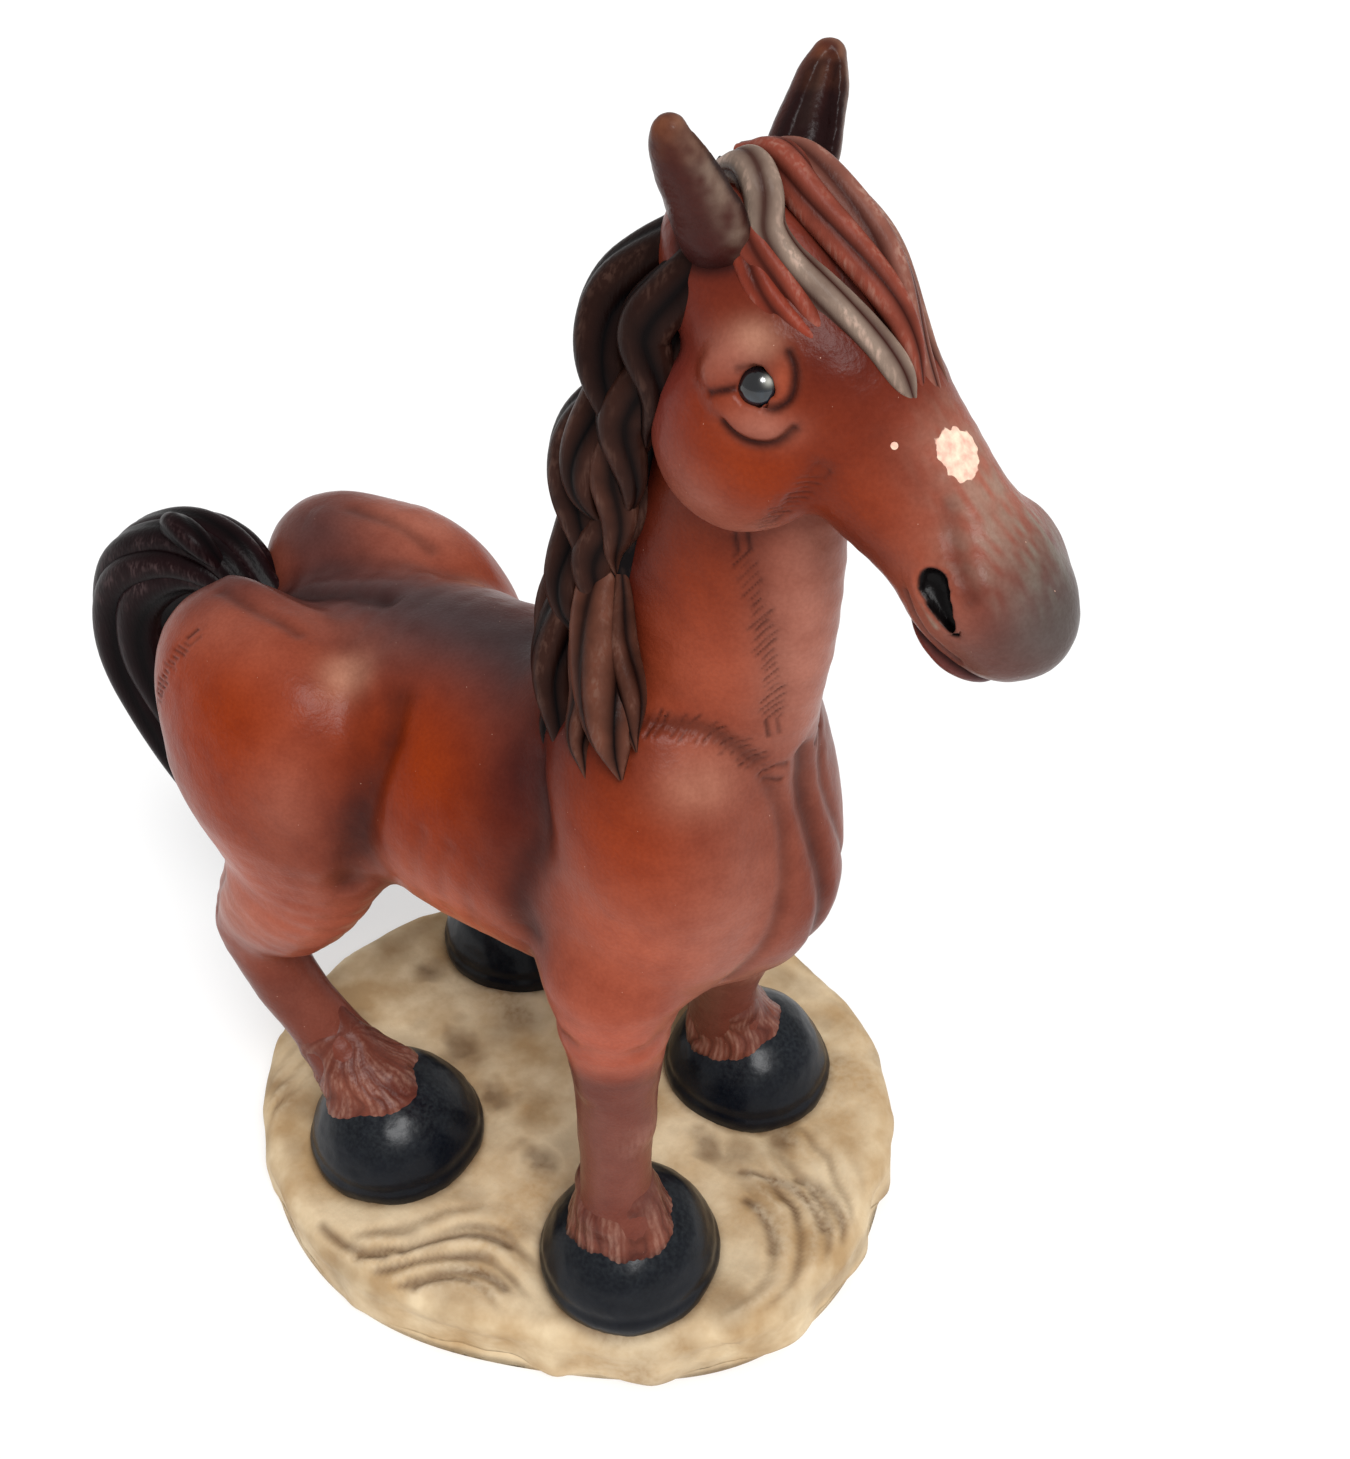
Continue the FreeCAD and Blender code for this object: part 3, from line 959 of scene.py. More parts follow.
def felt_paint():
    paint = Paint("felt")
    fibres = paint.noise(0.18, 4.0)
    tufts = paint.noise(1.2, 3.0)
    colour = paint.mix(fibres, display_colour(24, 50, 34), display_colour(58, 92, 66))
    colour = paint.mix(0.4 * tufts, colour, display_colour(30, 54, 40))
    return paint.finish(colour, 0.95, fibres + tufts, 0.12, Sheen_Weight=0.3)


def eye_paint():
    """A dark glossy eyeball with a blue-grey iris and a painted glint; the masks come with the mesh."""
    paint = Paint("eye gloss")
    cloudy = paint.noise(0.7, 3.0)
    colour = paint.mix(paint.mask("iris") * cloudy.between(0.2, 0.8), display_colour(6, 8, 13),
                       display_colour(40, 56, 70))
    colour = paint.mix(paint.mask("glint") * 0.8, colour, display_colour(196, 196, 186))
    return paint.finish(colour, 0.12 + 0.1 * cloudy, Coat_Weight=0.6, Coat_Roughness=0.06)


# %% [markdown]
# ## The skin of the body
#
# The body is modelled on a grid of half a millimetre and refined once, which gives quads of a quarter of a
# millimetre: fine enough for a groove that a sculptor's knife would leave. Creases and ridges are drawn as
# short lists of places near the surface, and each line is first moved onto the clay.

# %% Carve the body
STEP = 0.5


def on_clay(clay, points):
    """Moves rough places onto the clay's surface."""
    places = np.array(points, float)
    for _ in range(6):
        here = sample(clay.distance, clay.low, clay.step, places)
        slope = np.stack([
            sample(clay.distance, clay.low, clay.step, places + shift)
            - sample(clay.distance, clay.low, clay.step, places - shift)
            for shift in np.eye(3) * clay.step
        ], 1)
        length = np.linalg.norm(slope, axis=1, keepdims=True) + 1e-9
        places -= here[:, None] * slope / length
    return places


def carve_body(skin, clay):
    def crease(points, width, depth, wash=0.0, both=True):
        for route in ([points, mirrored(points)] if both else [points]):
            skin.line(on_clay(clay, route), width, depth, wash)

    def cuts(points, half_length, pitch, depth, seed, lean=0.0):
        for number, route in enumerate((points, mirrored(points))):
            skin.knife_row(on_clay(clay, route), half_length, pitch, depth, seed + number, lean)

    # the hollow of the flank, between the rump and the ribs
    crease([(-13, -9, 82), (-11, -13, 77), (-12, -16, 70), (-14, -17, 63), (-16, -17, 55)], 2.0, 0.9, 0.55)
    # the groove along the croup, a raised fold beside it and a finer groove outside the fold
    crease([(-42, -1, 78), (-35, -1.5, 80), (-27, -1, 81), (-20, -0.5, 82)], 1.6, 0.8, 0.7, both=False)
    crease([(-41, -6, 82), (-35, -6.5, 83), (-28, -5.5, 83), (-21, -6, 82)], 1.5, -0.5)
    crease([(-38, -9.5, 83), (-31, -10, 83), (-24, -10, 82)], 0.9, 0.35, 0.4)
    # hair cut into the back of the rump
    cuts([(-35.5, -16, 80), (-37.5, -18, 77), (-39.5, -19.5, 72.5)], 1.3, 0.7, 0.18, 11, 0.6)
    # behind the shoulder, and between the shoulder and the neck
    crease([(8, -9, 84), (9, -15, 78), (8, -16.5, 70), (8, -16, 62)], 2.2, 0.8, 0.6)
    crease([(16, -12, 92), (20, -10.5, 92.5), (24, -7.5, 91), (26.5, -4, 87)], 0.8, 0.35, 0.55)
    cuts([(13, -12.5, 91), (19, -11, 92.5), (24, -7.5, 91), (27, -3.5, 86)], 1.3, 0.75, 0.2, 21, -0.5)
    # the seam between the breast muscles
    crease([(27, 0, 88), (29, 0, 82), (30, 0, 76), (29, 0, 68), (25, 0, 60)], 1.3, 0.7, 0.6, both=False)
    crease([(26, -4, 87), (28.5, -3.2, 80), (28, -4.5, 70), (24, -7, 62)], 0.8, 0.3, 0.35)
    # windpipe groove with hair cuts along it
    crease([(25, -6.2, 112), (26.5, -5.4, 104), (27.5, -4.2, 97), (27.5, -4, 91)], 1.6, 0.45, 0.15)
    cuts([(25.2, -6.2, 109), (26.6, -5.4, 103), (27.4, -4.4, 97), (27.6, -4, 92)], 1.3, 0.75, 0.2, 31, 0.7)
    # elbow, stifle and the string of the hock
    crease([(8, -13, 60), (11, -15, 56), (16, -17, 55)], 1.5, 0.6, 0.45)
    crease([(24, -12, 56), (20, -16, 54)], 1.2, 0.4, 0.25)
    crease([(-34, -20, 52), (-37, -20, 46), (-38, -19, 41)], 0.9, 0.3, 0.3)
    # muscles that stand out of the forearm, the thigh and the ribs
    crease([(14, -17, 58), (15, -16, 50), (16, -15.5, 44)], 1.6, -0.3)
    for number, x in enumerate((-4, -0.5, 3)):
        crease([(x, -16, 72), (x - 1.5, -17, 66), (x - 2.5, -15.5, 59)], 1.0, 0.12, 0.12)
    # knees and cannon bones
    for corner, joint in (("fore_right", 3), ("fore_left", 3), ("hind_right", 2), ("hind_left", 2)):
        x, y, z = LEGS[corner][joint - 1][:3]
        skin.dent((x + 3.5, y, z + 1.5), 2.6, -0.5, 0.0, 0.15)
        skin.dent((x - 2.5, y, z - 1.0), 2.4, -0.3)
    # lumps of the hand-worked clay
    skin.offset += 0.16 * noise(skin.vertices, 7.0, 1) + 0.06 * noise(skin.vertices, 2.4, 2)
    skin.offset += 0.02 * noise(skin.vertices, 0.9, 3)


def paint_body(skin, clay):
    points = skin.vertices
    up = skin.normals[:, 2]
    wide = standing_out(clay, points, 4.0)
    paint = np.tile(BROWN, (len(points), 1))
    # the low parts are salmon and the underside is dusty pink
    blend_to(paint, SALMON, 0.75 * np.clip((62 - points[:, 2]) / 16, 0, 1))
    blend_to(paint, DUSTY_PINK, 0.5 * np.clip(-up, 0, 1) * (points[:, 2] > 44))
    spray(paint, points, [
        (ORANGE, (-31, -18, 75), (13, 13, 10), 1.0),
        (ORANGE, (-30, -16, 74), (9, 10, 7), 0.8),
        (ORANGE, (-34, -19, 63), (9, 10, 9), 0.55),
        (SALMON, (-30, -22, 56), (8, 9, 8), 0.8),
        (DUSTY_PINK, (-33, -20, 47), (8, 7, 5), 0.75),
        (DUSTY_PINK, (-43, -10, 77), (3.5, 8, 6), 0.5),
        # pale paint and a painted highlight at the front of each rump
        (PALE_PAINT_AND_HIGHLIGHT, (-18.5, -10.5, 80), (2.4, 2.8, 2.4), 0.5),
        (DUSTY_PINK, (-20, -17, 70), (4, 6, 8), 0.55),
        (DUSTY_PINK, (-24, -6.5, 83), (9, 2.6, 4), 0.5),
        (ORANGE, (-5, -14, 76), (8, 8, 10), 0.95),
        (ORANGE, (-2, -17, 64), (8, 8, 9), 0.8),
        (SALMON, (-4, -15, 55), (10, 9, 6), 0.8),
        (MAROON, (6, -12, 80), (6, 7, 8), 0.85),
        (MAROON, (9, -15, 70), (4, 7, 13), 0.75),
        (MAROON, (-14, -15, 62), (3, 6, 12), 0.6),
        (ORANGE, (20, -15, 80), (8, 7, 8), 0.95),
        (SALMON, (20, -14, 70), (9, 9, 8), 0.85),
        (DUSTY_PINK, (26, -8, 72), (5, 6, 10), 0.6),
        (DUSTY_PINK, (24, -9, 88), (4, 4, 4), 0.5),
        (ORANGE, (20, -8, 101), (7, 6, 9), 0.8),
        (SALMON, (23, -7, 97), (6, 5, 6), 0.6),
        (DUSTY_PINK, (30, 0, 100), (3.5, 7, 14), 0.8),
        (MAROON, (13, -7, 106), (5, 6, 14), 0.9),
        (MAROON, (10, -10, 90), (4, 6, 6), 0.6),
    ])
    # slate along the middle of the back
    back = np.clip((up - 0.45) / 0.4, 0, 1) * np.clip((points[:, 2] - 74) / 5, 0, 1)
    middle = np.exp(-(points[:, 1] / 8.5) ** 2)
    blend_to(paint, SLATE, 0.92 * back * middle * (points[:, 0] < 14))
    spray(paint, points, [
        (DUSTY_PINK, (-30, 15, 82), (9, 6, 4), 0.8),
        (SLATE, (-38, 8, 80), (6, 6, 5), 0.7),
        (ORANGE, (-28, -16, 77), (10, 10, 8), 0.9),
        # the painted highlight on the rump again, smaller
        (PALE_PAINT_AND_HIGHLIGHT, (-18.5, -10.5, 80), (2.0, 2.4, 2.0), 0.4),
        (ORANGE, (-9, -13, 79), (6, 6, 6), 0.7),
        # a lighter lower belly: partly the coat's pale underside, partly painted light that lifts the shade
        # under the barrel
        (display_colour(214, 120, 86), (-3, -17, 60), (9, 8, 6), 0.65),
        (display_colour(214, 120, 96), (17, -17, 57), (8, 7, 6), 0.6),
        # a faint pale cloud on the ridge of each shoulder: partly pale paint, partly a painted highlight
        (PALE_PAINT_AND_HIGHLIGHT, (24, -10, 87), (3, 3.5, 2.2), 0.22),
    ])
    cloud(paint, points, DUSTY_PINK, (-27, 14, 84), (8, 6, 4), 0.7, both_sides=False)
    # the legs darken towards the hair over the hooves
    fore = points[:, 0] > 0
    line = np.where(fore, 51.5, 48) + 1.5 * noise(points, 5.0, 17)
    shin = np.clip((line - points[:, 2]) / np.where(fore, 3, 15), 0, 1)
    blend_to(paint, display_colour(104, 58, 50), 0.85 * shin)
    blend_to(paint, DUSTY_PINK, np.clip(2.0 * wide - 0.3, 0, 0.14))
    skin.paint = paint
    skin.wash = np.clip(skin.wash + np.clip(-3.6 * wide - 0.1, 0, 0.75), 0, 1)
    skin.rub = np.clip(skin.rub, 0, 1)


def build_body(material):
    clay = Clay((-54, -34, 13), (36, 34, 130), STEP)
    model_trunk(clay)
    model_legs(clay)
    vertices, quads = surface_nets(clay.distance, clay.low, clay.step)
    vertices, quads = refine(vertices, quads)
    skin = Skin(vertices, quads)
    carve_body(skin, clay)
    paint_body(skin, clay)
    skin.finish()
    cells = np.clip(np.round((skin.vertices - clay.low) / clay.step).astype(int), 0,
                    np.array(clay.owner.shape) - 1)
    owner = clay.owner[tuple(cells.T)]
    quad_owner = np.sort(owner[skin.quads], axis=1)[:, 1]
    for number, node in enumerate(clay.names):
        part_vertices, part_quads, used = take_part(skin, quad_owner == number)
        if not len(part_quads):
            print("no skin for", node)
            continue
        masks = {"paint": skin.paint[used], "wash": skin.wash[used], "rub": skin.rub[used],
                 "bare": np.zeros(len(used))}
        piece = make_mesh(node + "_skin", part_vertices, part_quads, skin.normals[used], masks)
        settle(piece, material, "coat_paint", node)
        print(node, len(part_quads) * 2, "triangles")


COAT = coat_paint()
build_body(COAT)
print("body", round(time.time() - start_time, 1), "s")

# %% [markdown]
# ## The head
#
# The head has the finest detail, so it gets a clay block of its own with a smaller step. Skull, cheeks and
# nostrils are masses; the eye lies in a nest of soft folds, which are small masses placed in the eye's own
# axes: forward along the lids, up, and out of the head. The lower lip and the ears have clay blocks of their
# own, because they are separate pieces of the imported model.

# %% Skull, cheeks, muzzle and lids
HEAD_STEP = 0.4
SKULL = [
    (18, 0, 131, 4.4, 3.6), (20.5, 0, 129.3, 6.6, 5.8), (24, 0, 126.4, 7.7, 7.0), (28.5, 0, 122.2, 7.9, 7.7),
    (33.5, 0, 118, 6.5, 6.7), (39, 0, 113.6, 5.6, 5.8), (42.8, 0, 110.3, 6.2, 5.8),
    (45.2, 0, 108.2, 5.1, 4.9),
    (46.4, 0, 107.2, 3.0, 2.8),
]
NOSTRIL = [(41.5, 6.5, 113.0, 1.2), (42.2, 6.6, 112.2, 1.0), (43.1, 6.5, 110.9, 0.6), (43.8, 6.3, 110.0, 0.4)]
EYE_OUT = unit((0.35, 0.85, 0.40))
EYE_FORWARD = unit(np.array((0.9, 0, 0.44)) - EYE_OUT * (np.array((0.9, 0, 0.44)) @ EYE_OUT))
EYE_UP = np.cross(EYE_OUT, EYE_FORWARD) * -1


def by_eye(sign, forward, up, out):
    """A place given in the axes of one eye, in millimetres from the eyeball's middle."""
    middle = EYE_MIDDLE * (1, -1, 1)
    place = middle + forward * EYE_FORWARD + up * EYE_UP + out * EYE_OUT
    return place * (1, sign, 1)


def model_head(clay):
    clay.limb("head", SKULL, blend=0.1)
    for sign in (1, -1):
        clay.ball("head", (24.2, sign * 4.9, 118.6), (7.4, 5, 8.2), turned(pitch=-35), blend=1.4)
        clay.ball("head", (42.9, sign * 4.4, 111.8), (3.6, 2.6, 2.8), turned(pitch=-40), blend=2)
        # brow, the bag under the eye, and a socket for the eyeball
        brow = [(*by_eye(sign, *place), 1.2, 1.2) for place in ((-2.6, 1.6, 0.2), (-0.6, 2.9, 0.3),
                                                                 (1.5, 2.5, 0.1), (2.6, 1.0, -0.4))]
        clay.limb("head", brow, blend=1.6)
        bag = [(*by_eye(sign, *place), 0.9, 0.9) for place in ((-2.6, -0.6, 0.2), (-1.4, -2.1, 0.5),
                                                                (0.4, -2.7, 0.4), (1.8, -1.9, 0.0))]
        clay.limb("head", bag, blend=1.0)
        lid = [(*by_eye(sign, 1.75 * math.cos(a) - 0.25, 1.6 * math.sin(a), 0.75), 0.5, 0.5)
               for a in np.radians(np.arange(0, 361, 30))]
        clay.limb("head", lid, blend=0.5, steps=2)
        clay.ball("head", by_eye(sign, 0, 0, 0.6), np.full(3, EYE_RADIUS * 0.8), blend=0.2, cut=True)
        hollow = [(x, sign * y, z, radius, radius) for x, y, z, radius in NOSTRIL]
        clay.limb("head", hollow, blend=0.25, cut=True)


def carve_head(skin, clay):
    def crease(points, width, depth, wash):
        for route in (points, mirrored(points)):
            skin.line(on_clay(clay, route), width, depth, wash)

    def eye_crease(places, width, depth, wash):
        crease([by_eye(-1, *place) for place in places], width, depth, wash)

    # the corner in front of the eye, the corner behind it, under the bag and over the lid
    eye_crease([(2.4, 2.2, 0.4), (3.0, 0.6, 0.3), (2.7, -1.1, 0.2), (1.4, -2.0, 0.4), (-0.4, -1.8, 0.6)],
               0.36, 0.4, 1.0)
    eye_crease([(-1.2, 0.2, 0.9), (-2.2, 0.2, 0.5), (-3.4, 0.3, 0.1)], 0.3, 0.3, 1.0)
    eye_crease([(-2.9, -1.4, 0.2), (-1.6, -3.3, 0), (0.4, -3.8, 0), (2.4, -2.8, 0)], 0.38, 0.45, 0.85)
    eye_crease([(-1.6, 1.9, 0.6), (0.2, 2.1, 0.8), (1.6, 1.8, 0.6)], 0.35, 0.2, 0.45)
    # folds of the chin and beside the nose
    crease([(39.2, -5, 111.5), (40.6, -5.4, 109), (42.4, -5.4, 107.2), (44, -5, 106)], 0.5, 0.3, 0.6)
    crease([(40.6, -3.4, 118.8), (41.6, -4.4, 116.4), (43.2, -5, 113.8), (44.6, -5, 111.8)], 0.9, 0.35, 0.4)
    crease([(34, -4.2, 122.6), (37, -4.0, 119.6), (40, -3.8, 117)], 1.4, 0.25, 0.1)
    # cheek bone, jaw and short hair marks
    crease([(32.6, -6.5, 120.5), (31.6, -7.4, 117.5), (29.6, -7.8, 114.2),
            (26.6, -7, 111.8)], 1.1, 0.35, 0.25)
    for number, route in enumerate(([(31.8, -7.2, 118.6), (30.8, -7.6, 116.2), (29.4, -7.4, 114.0)],
                                    [(29.6, -8, 115.6), (28.4, -7.6, 113.2), (27.2, -5.6, 111.8)])):
        for turn, path in enumerate((route, mirrored(route))):
            skin.knife_row(on_clay(clay, path), 1.0, 0.62, 0.16, 41 + 2 * number + turn, 0.5, 0.6)
    skin.offset += 0.07 * noise(skin.vertices, 3.0, 5) + 0.02 * noise(skin.vertices, 0.9, 6)


def paint_head(skin, clay, neighbours):
    points = skin.vertices
    paint = np.tile(display_colour(128, 54, 34), (len(points), 1))
    down = np.clip((points[:, 0] - 36) / 12, 0, 1)
    spray(paint, points, [
        (ORANGE, (25.5, -9, 118.5), (7, 6, 7), 1.0),
        (DUSTY_PINK, (22, -8, 114), (4, 6, 4), 0.55),
        (DUSTY_PINK, (28, -8, 111.8), (5, 6, 2.6), 0.7),
        (display_colour(120, 60, 60), (19, -6, 122), (3.6, 5, 7), 0.8),
        (ORANGE, (36, -6, 116), (6, 5, 4), 0.8),
        (SALMON, (40.5, -6.5, 112.6), (2.6, 3, 2.6), 0.75),
        (DUSTY_PINK, (41, -6, 108.6), (4.5, 5, 2.4), 0.5),
        (MAROON, (33.5, -5, 112.5), (4, 4, 3), 0.5),
        (MAROON, (30, -4, 127), (7, 5, 4), 0.6),
        (MAROON, (22, -4, 133), (4, 5, 3), 0.85),
        # pale paint and a painted highlight on the brow over each eye
        (PALE_PAINT_AND_HIGHLIGHT, by_eye(1, 0.6, 3.2, 1), (1.6, 1.6, 1.2), 0.75),
        (DUSTY_PINK, by_eye(1, -1.4, 2.6, 1), (2.2, 2.2, 1.6), 0.6),
        (DUSTY_PINK, by_eye(1, -0.2, -2.7, 1), (2.4, 2.4, 1.3), 0.75),
        (SALMON, by_eye(1, 1.9, 0, 1), (0.9, 1.2, 1.6), 0.7),
        (DUSTY_PINK, (38, 0, 120), (6, 3.6, 3), 0.4),
    ])
    # grey dry brush over the nose, blue grey at the lips
    top = np.clip((skin.normals[:, 2] - 0.1) / 0.5, 0, 1) * down
    strokes = np.clip(0.55 + 0.9 * noise(points * (0.35, 1, 0.35), 0.45, 9), 0, 1)
    cloud(paint, points, DUSTY_PINK, (42, 0, 116), (5, 5, 5), 0.5)
    blend_to(paint, NOSE_GREY, 1.2 * top * strokes * np.exp(-(points[:, 1] / 5.5) ** 2))
    spray(paint, points, [
        (LIP_GREY, (48.5, -1, 108.5), (5, 6, 6), 0.95),
        (display_colour(120, 76, 70), (46, -4, 106), (4, 4, 2.6), 0.5),
    ])
    hole = np.zeros(len(points))
    for sign in (1, -1):
        route = smooth_path(np.array(NOSTRIL) * (1, sign, 1, 1), 5)
        for x, y, z, radius in route:
            distance = np.linalg.norm(points - (x, y, z), axis=1)
            hole = np.maximum(hole, np.clip((radius + 0.22 - distance) / 0.2, 0, 1))
    blend_to(paint, NEAR_BLACK, hole)
    # a pale crescent behind and below each nostril is a painted highlight of the gloss on its lower rim
    for sign in (1, -1):
        rim = np.array([(40.4, 7, 111.6), (41.3, 7.2, 110.8), (42.3, 7.0, 109.9)]) * (1, sign, 1)
        numbers, distance, _, _, _ = skin.near(rim, 1.2)
        amount = np.clip(1.2 - distance / 0.4, 0, 0.75)
        paint[numbers] += (display_colour(160, 166, 156) - paint[numbers]) * amount[:, None]
    wide = standing_out(clay, points, 1.6)
    blend_to(paint, DUSTY_PINK, np.clip(1.6 * wide - 0.2, 0, 0.2) * (1 - hole) * (1 - top))
    skin.paint = paint
    skin.wash = np.clip(np.maximum(skin.wash, np.clip(-2.0 * wide - 0.25, 0, 0.5)), 0, 1) * (1 - hole)
    for other in neighbours:
        gap = sample(other.distance, other.low, other.step, points)
        skin.wash = np.maximum(skin.wash, 0.75 * np.exp(-(gap / 0.5) ** 2) * (gap < 4))
    # a chip on the bridge of the nose shows the bare resin
    chip = np.linalg.norm((points - (39.7, -1.2, 120.6)) / (2.3, 2.0, 2.3), axis=1)
    ragged = 0.22 * noise(points, 1.1, 12) + 0.12 * noise(points, 0.4, 13)
    skin.bare = np.clip((1.15 - chip - ragged) / 0.5, 0, 1)
    speck = np.linalg.norm(points - (36.5, -4.5, 121.6), axis=1)
    skin.bare = np.maximum(skin.bare, np.clip((0.5 - speck) / 0.3, 0, 1))


# %% Build one sculpted piece
def sculpt(name, node, slot, material, clay, shape, colour):
    """Meshes a clay block, carves and paints it with the given functions and settles it."""
    vertices, quads = surface_nets(clay.distance, clay.low, clay.step)
    vertices, quads = refine(vertices, quads)
    skin = Skin(vertices, quads)
    skin.bare = np.zeros(len(vertices))
    skin.paint = np.tile(BROWN, (len(vertices), 1))
    shape(skin)
    colour(skin)
    skin.finish()
    masks = {"paint": skin.paint, "wash": skin.wash, "rub": skin.rub, "bare": skin.bare}
    piece = make_mesh(name, skin.vertices, skin.quads, skin.normals, masks)
    settle(piece, material, slot, node)
    print(node, len(quads) * 2, "triangles")


# %% Ears and lower lip
def ear_stations(sign):
    return [(21.3, 3.6 * sign, 131.0, 2.5, 2.1), (21.4, 4.9 * sign, 133.6, 3.0, 2.5),
            (21.3, 6.7 * sign, 136.8, 2.8, 2.2), (21.1, 8.6 * sign, 139.8, 2.1, 1.8),
            (21.0, 9.6 * sign, 141.4, 1.35, 1.25)]


def model_ear(sign):
    y = sorted((1.0 * sign, 12.0 * sign))
    clay = Clay((15.5, y[0] - 1, 126.5), (28, y[1] + 1, 144.5), HEAD_STEP * 0.75)
    clay.limb("ear", ear_stations(sign), side=(1, 0, 0.3), blend=0.1)
    # the shell opens forwards and towards the other ear
    opening = np.array((1.4, -1.9 * sign, 0.4))
    rows = [(*(np.array(row[:3]) + opening * scale), wide, wide * 0.8) for row, scale, wide in
            zip(ear_stations(sign)[1:], (1.25, 1.05, 0.75, 0.55), (1.7, 1.5, 0.85, 0.3))]
    clay.limb("ear", rows, side=(1, 0.8 * sign, 0), blend=0.7, cut=True)
    return clay


def paint_ear(sign):
    def paint(skin):
        points = skin.vertices
        skin.paint = np.tile(display_colour(76, 38, 34), (len(points), 1))
        rows = np.array(ear_stations(sign))
        axis_y = np.interp(points[:, 2], rows[:, 2], rows[:, 1])
        inner = ((points[:, 0] - 21.2) * 0.6 - (points[:, 1] - axis_y) * sign * 0.8)
        outer = (points[:, 1] - axis_y) * sign
        # a grey painted highlight along the inner rim, strongest on the side that faces forward, outward and
        # up, broken by brush strokes
        facing = skin.normals @ unit((0.6, 0.6 * sign, 0.4))
        rim = np.exp(-((inner - 1.0) / 1.0) ** 2) * np.clip(facing, 0, 1)
        strokes = 0.5 + 0.5 * noise(points, 0.7, 15)
        blend_to(skin.paint, display_colour(150, 138, 128), 1.1 * rim * strokes)
        # dark paint inside the ear, made darker where the cup turns inwards as painted shade in the hollow
        cave = skin.normals @ unit((-0.2, sign, 0)) < -0.1
        blend_to(skin.paint, display_colour(26, 14, 18), 0.85 * np.clip((inner - 0.6) / 0.8, 0, 1)
                 * np.clip(-outer / 0.8 + 0.4, 0, 1) * np.where(cave, 1, 0.6))
        tip = np.clip((points[:, 2] - 139.5) / 3, 0, 1)
        blend_to(skin.paint, display_colour(150, 100, 72), 0.6 * tip * strokes)
        cloud(skin.paint, points, MAROON, (21.3, 4.5, 132), (5, 5, 2.4), 0.7)
        skin.wash = np.maximum(skin.wash, 0.8 * np.clip((133.2 - points[:, 2]) / 2, 0, 1))
    return paint


def roughen(amount, size, seed):
    def shape(skin):
        skin.offset += amount * noise(skin.vertices, size, seed)
    return shape


def model_lip():
    clay = Clay((34.5, -7, 98.5), (48.5, 7, 110.5), HEAD_STEP * 0.75)
    clay.ball("lip", (41.4, 0, 105.6), (4.7, 4.3, 2.2), turned(pitch=-38), blend=0.1)
    return clay


def paint_lip(skull):
    def paint(skin):
        points = skin.vertices
        skin.paint = np.tile(display_colour(128, 66, 60), (len(points), 1))
        cloud(skin.paint, points, display_colour(92, 60, 66), (44, 0, 103), (3, 4, 3), 0.7)
        gap = sample(skull.distance, skull.low, skull.step, points)
        skin.wash = np.maximum(skin.wash, np.exp(-(gap / 0.45) ** 2))
    return paint


def build_head():
    skull = Clay((12, -12, 97), (53, 12, 138), HEAD_STEP)
    model_head(skull)
    lip = model_lip()
    ears = {side: model_ear(sign) for side, sign in SIDES.items()}
    sculpt("head_skin", "head", "coat_paint", COAT, skull, lambda skin: carve_head(skin, skull),
           lambda skin: paint_head(skin, skull, [lip, *ears.values()]))
    sculpt("lower_lip_skin", "lower_lip", "coat_paint", COAT, lip, roughen(0.06, 1.6, 17), paint_lip(skull))
    for side, sign in SIDES.items():
        sculpt("ear_" + side + "_skin", "ear_" + side, "coat_paint", COAT, ears[side],
               roughen(0.1, 1.6, 18), paint_ear(sign))


build_head()
print("head", round(time.time() - start_time, 1), "s")


# %% [markdown]
# ## Eyes
#
# Each eye is a glass-like ball pressed into its socket. The iris and the painted glint are masks on the
# ball's own vertices, measured as angles from the direction in which the eye looks.

# %% Eyeballs
def build_eye(side, sign, material):
    middle = by_eye(sign, 0, 0, 0)
    work = bmesh.new()
    bmesh.ops.create_icosphere(work, subdivisions=5, radius=float(EYE_RADIUS))
    vertices = np.array([vertex.co for vertex in work.verts])
    faces = np.array([[vertex.index for vertex in face.verts] for face in work.faces])
    work.free()
    look = vertices / EYE_RADIUS
    forward, up, out = [look @ (axis * (1, sign, 1)) for axis in (EYE_FORWARD, EYE_UP, EYE_OUT)]
    pale = np.exp(-((forward - 0.55) / 0.2) ** 2 - ((up - 0.15) / 0.2) ** 2) * (out > 0)
    iris = np.clip((-up - 0.1) / 0.3, 0, 1) * np.clip((0.75 - np.hypot(forward, up)) / 0.1, 0, 1)
    iris *= out > 0
    piece = make_mesh("eye_" + side + "_ball", vertices + middle, faces, look,
                      {"iris": iris, "glint": pale})
    settle(piece, material, "eye_gloss", "eye_" + side)


EYE_GLOSS = eye_paint()
for side, sign in SIDES.items():
    build_eye(side, sign, EYE_GLOSS)


# %% [markdown]
# ## Hair as carved locks
#
# Mane, forelock and tail are bundles of carved locks. One Geometry Nodes tree makes any bundle: it takes
# loose paths, turns them into curves, and sweeps along them a round profile with sharp valleys between
# rounded strands. Each path's points carry their own thickness, twist and tone, so that a lock can swell,
# taper to a point and wind like a rope. The profile also writes how high each point stands, for the dry
# brush. A thick lock in the middle fills each bundle.

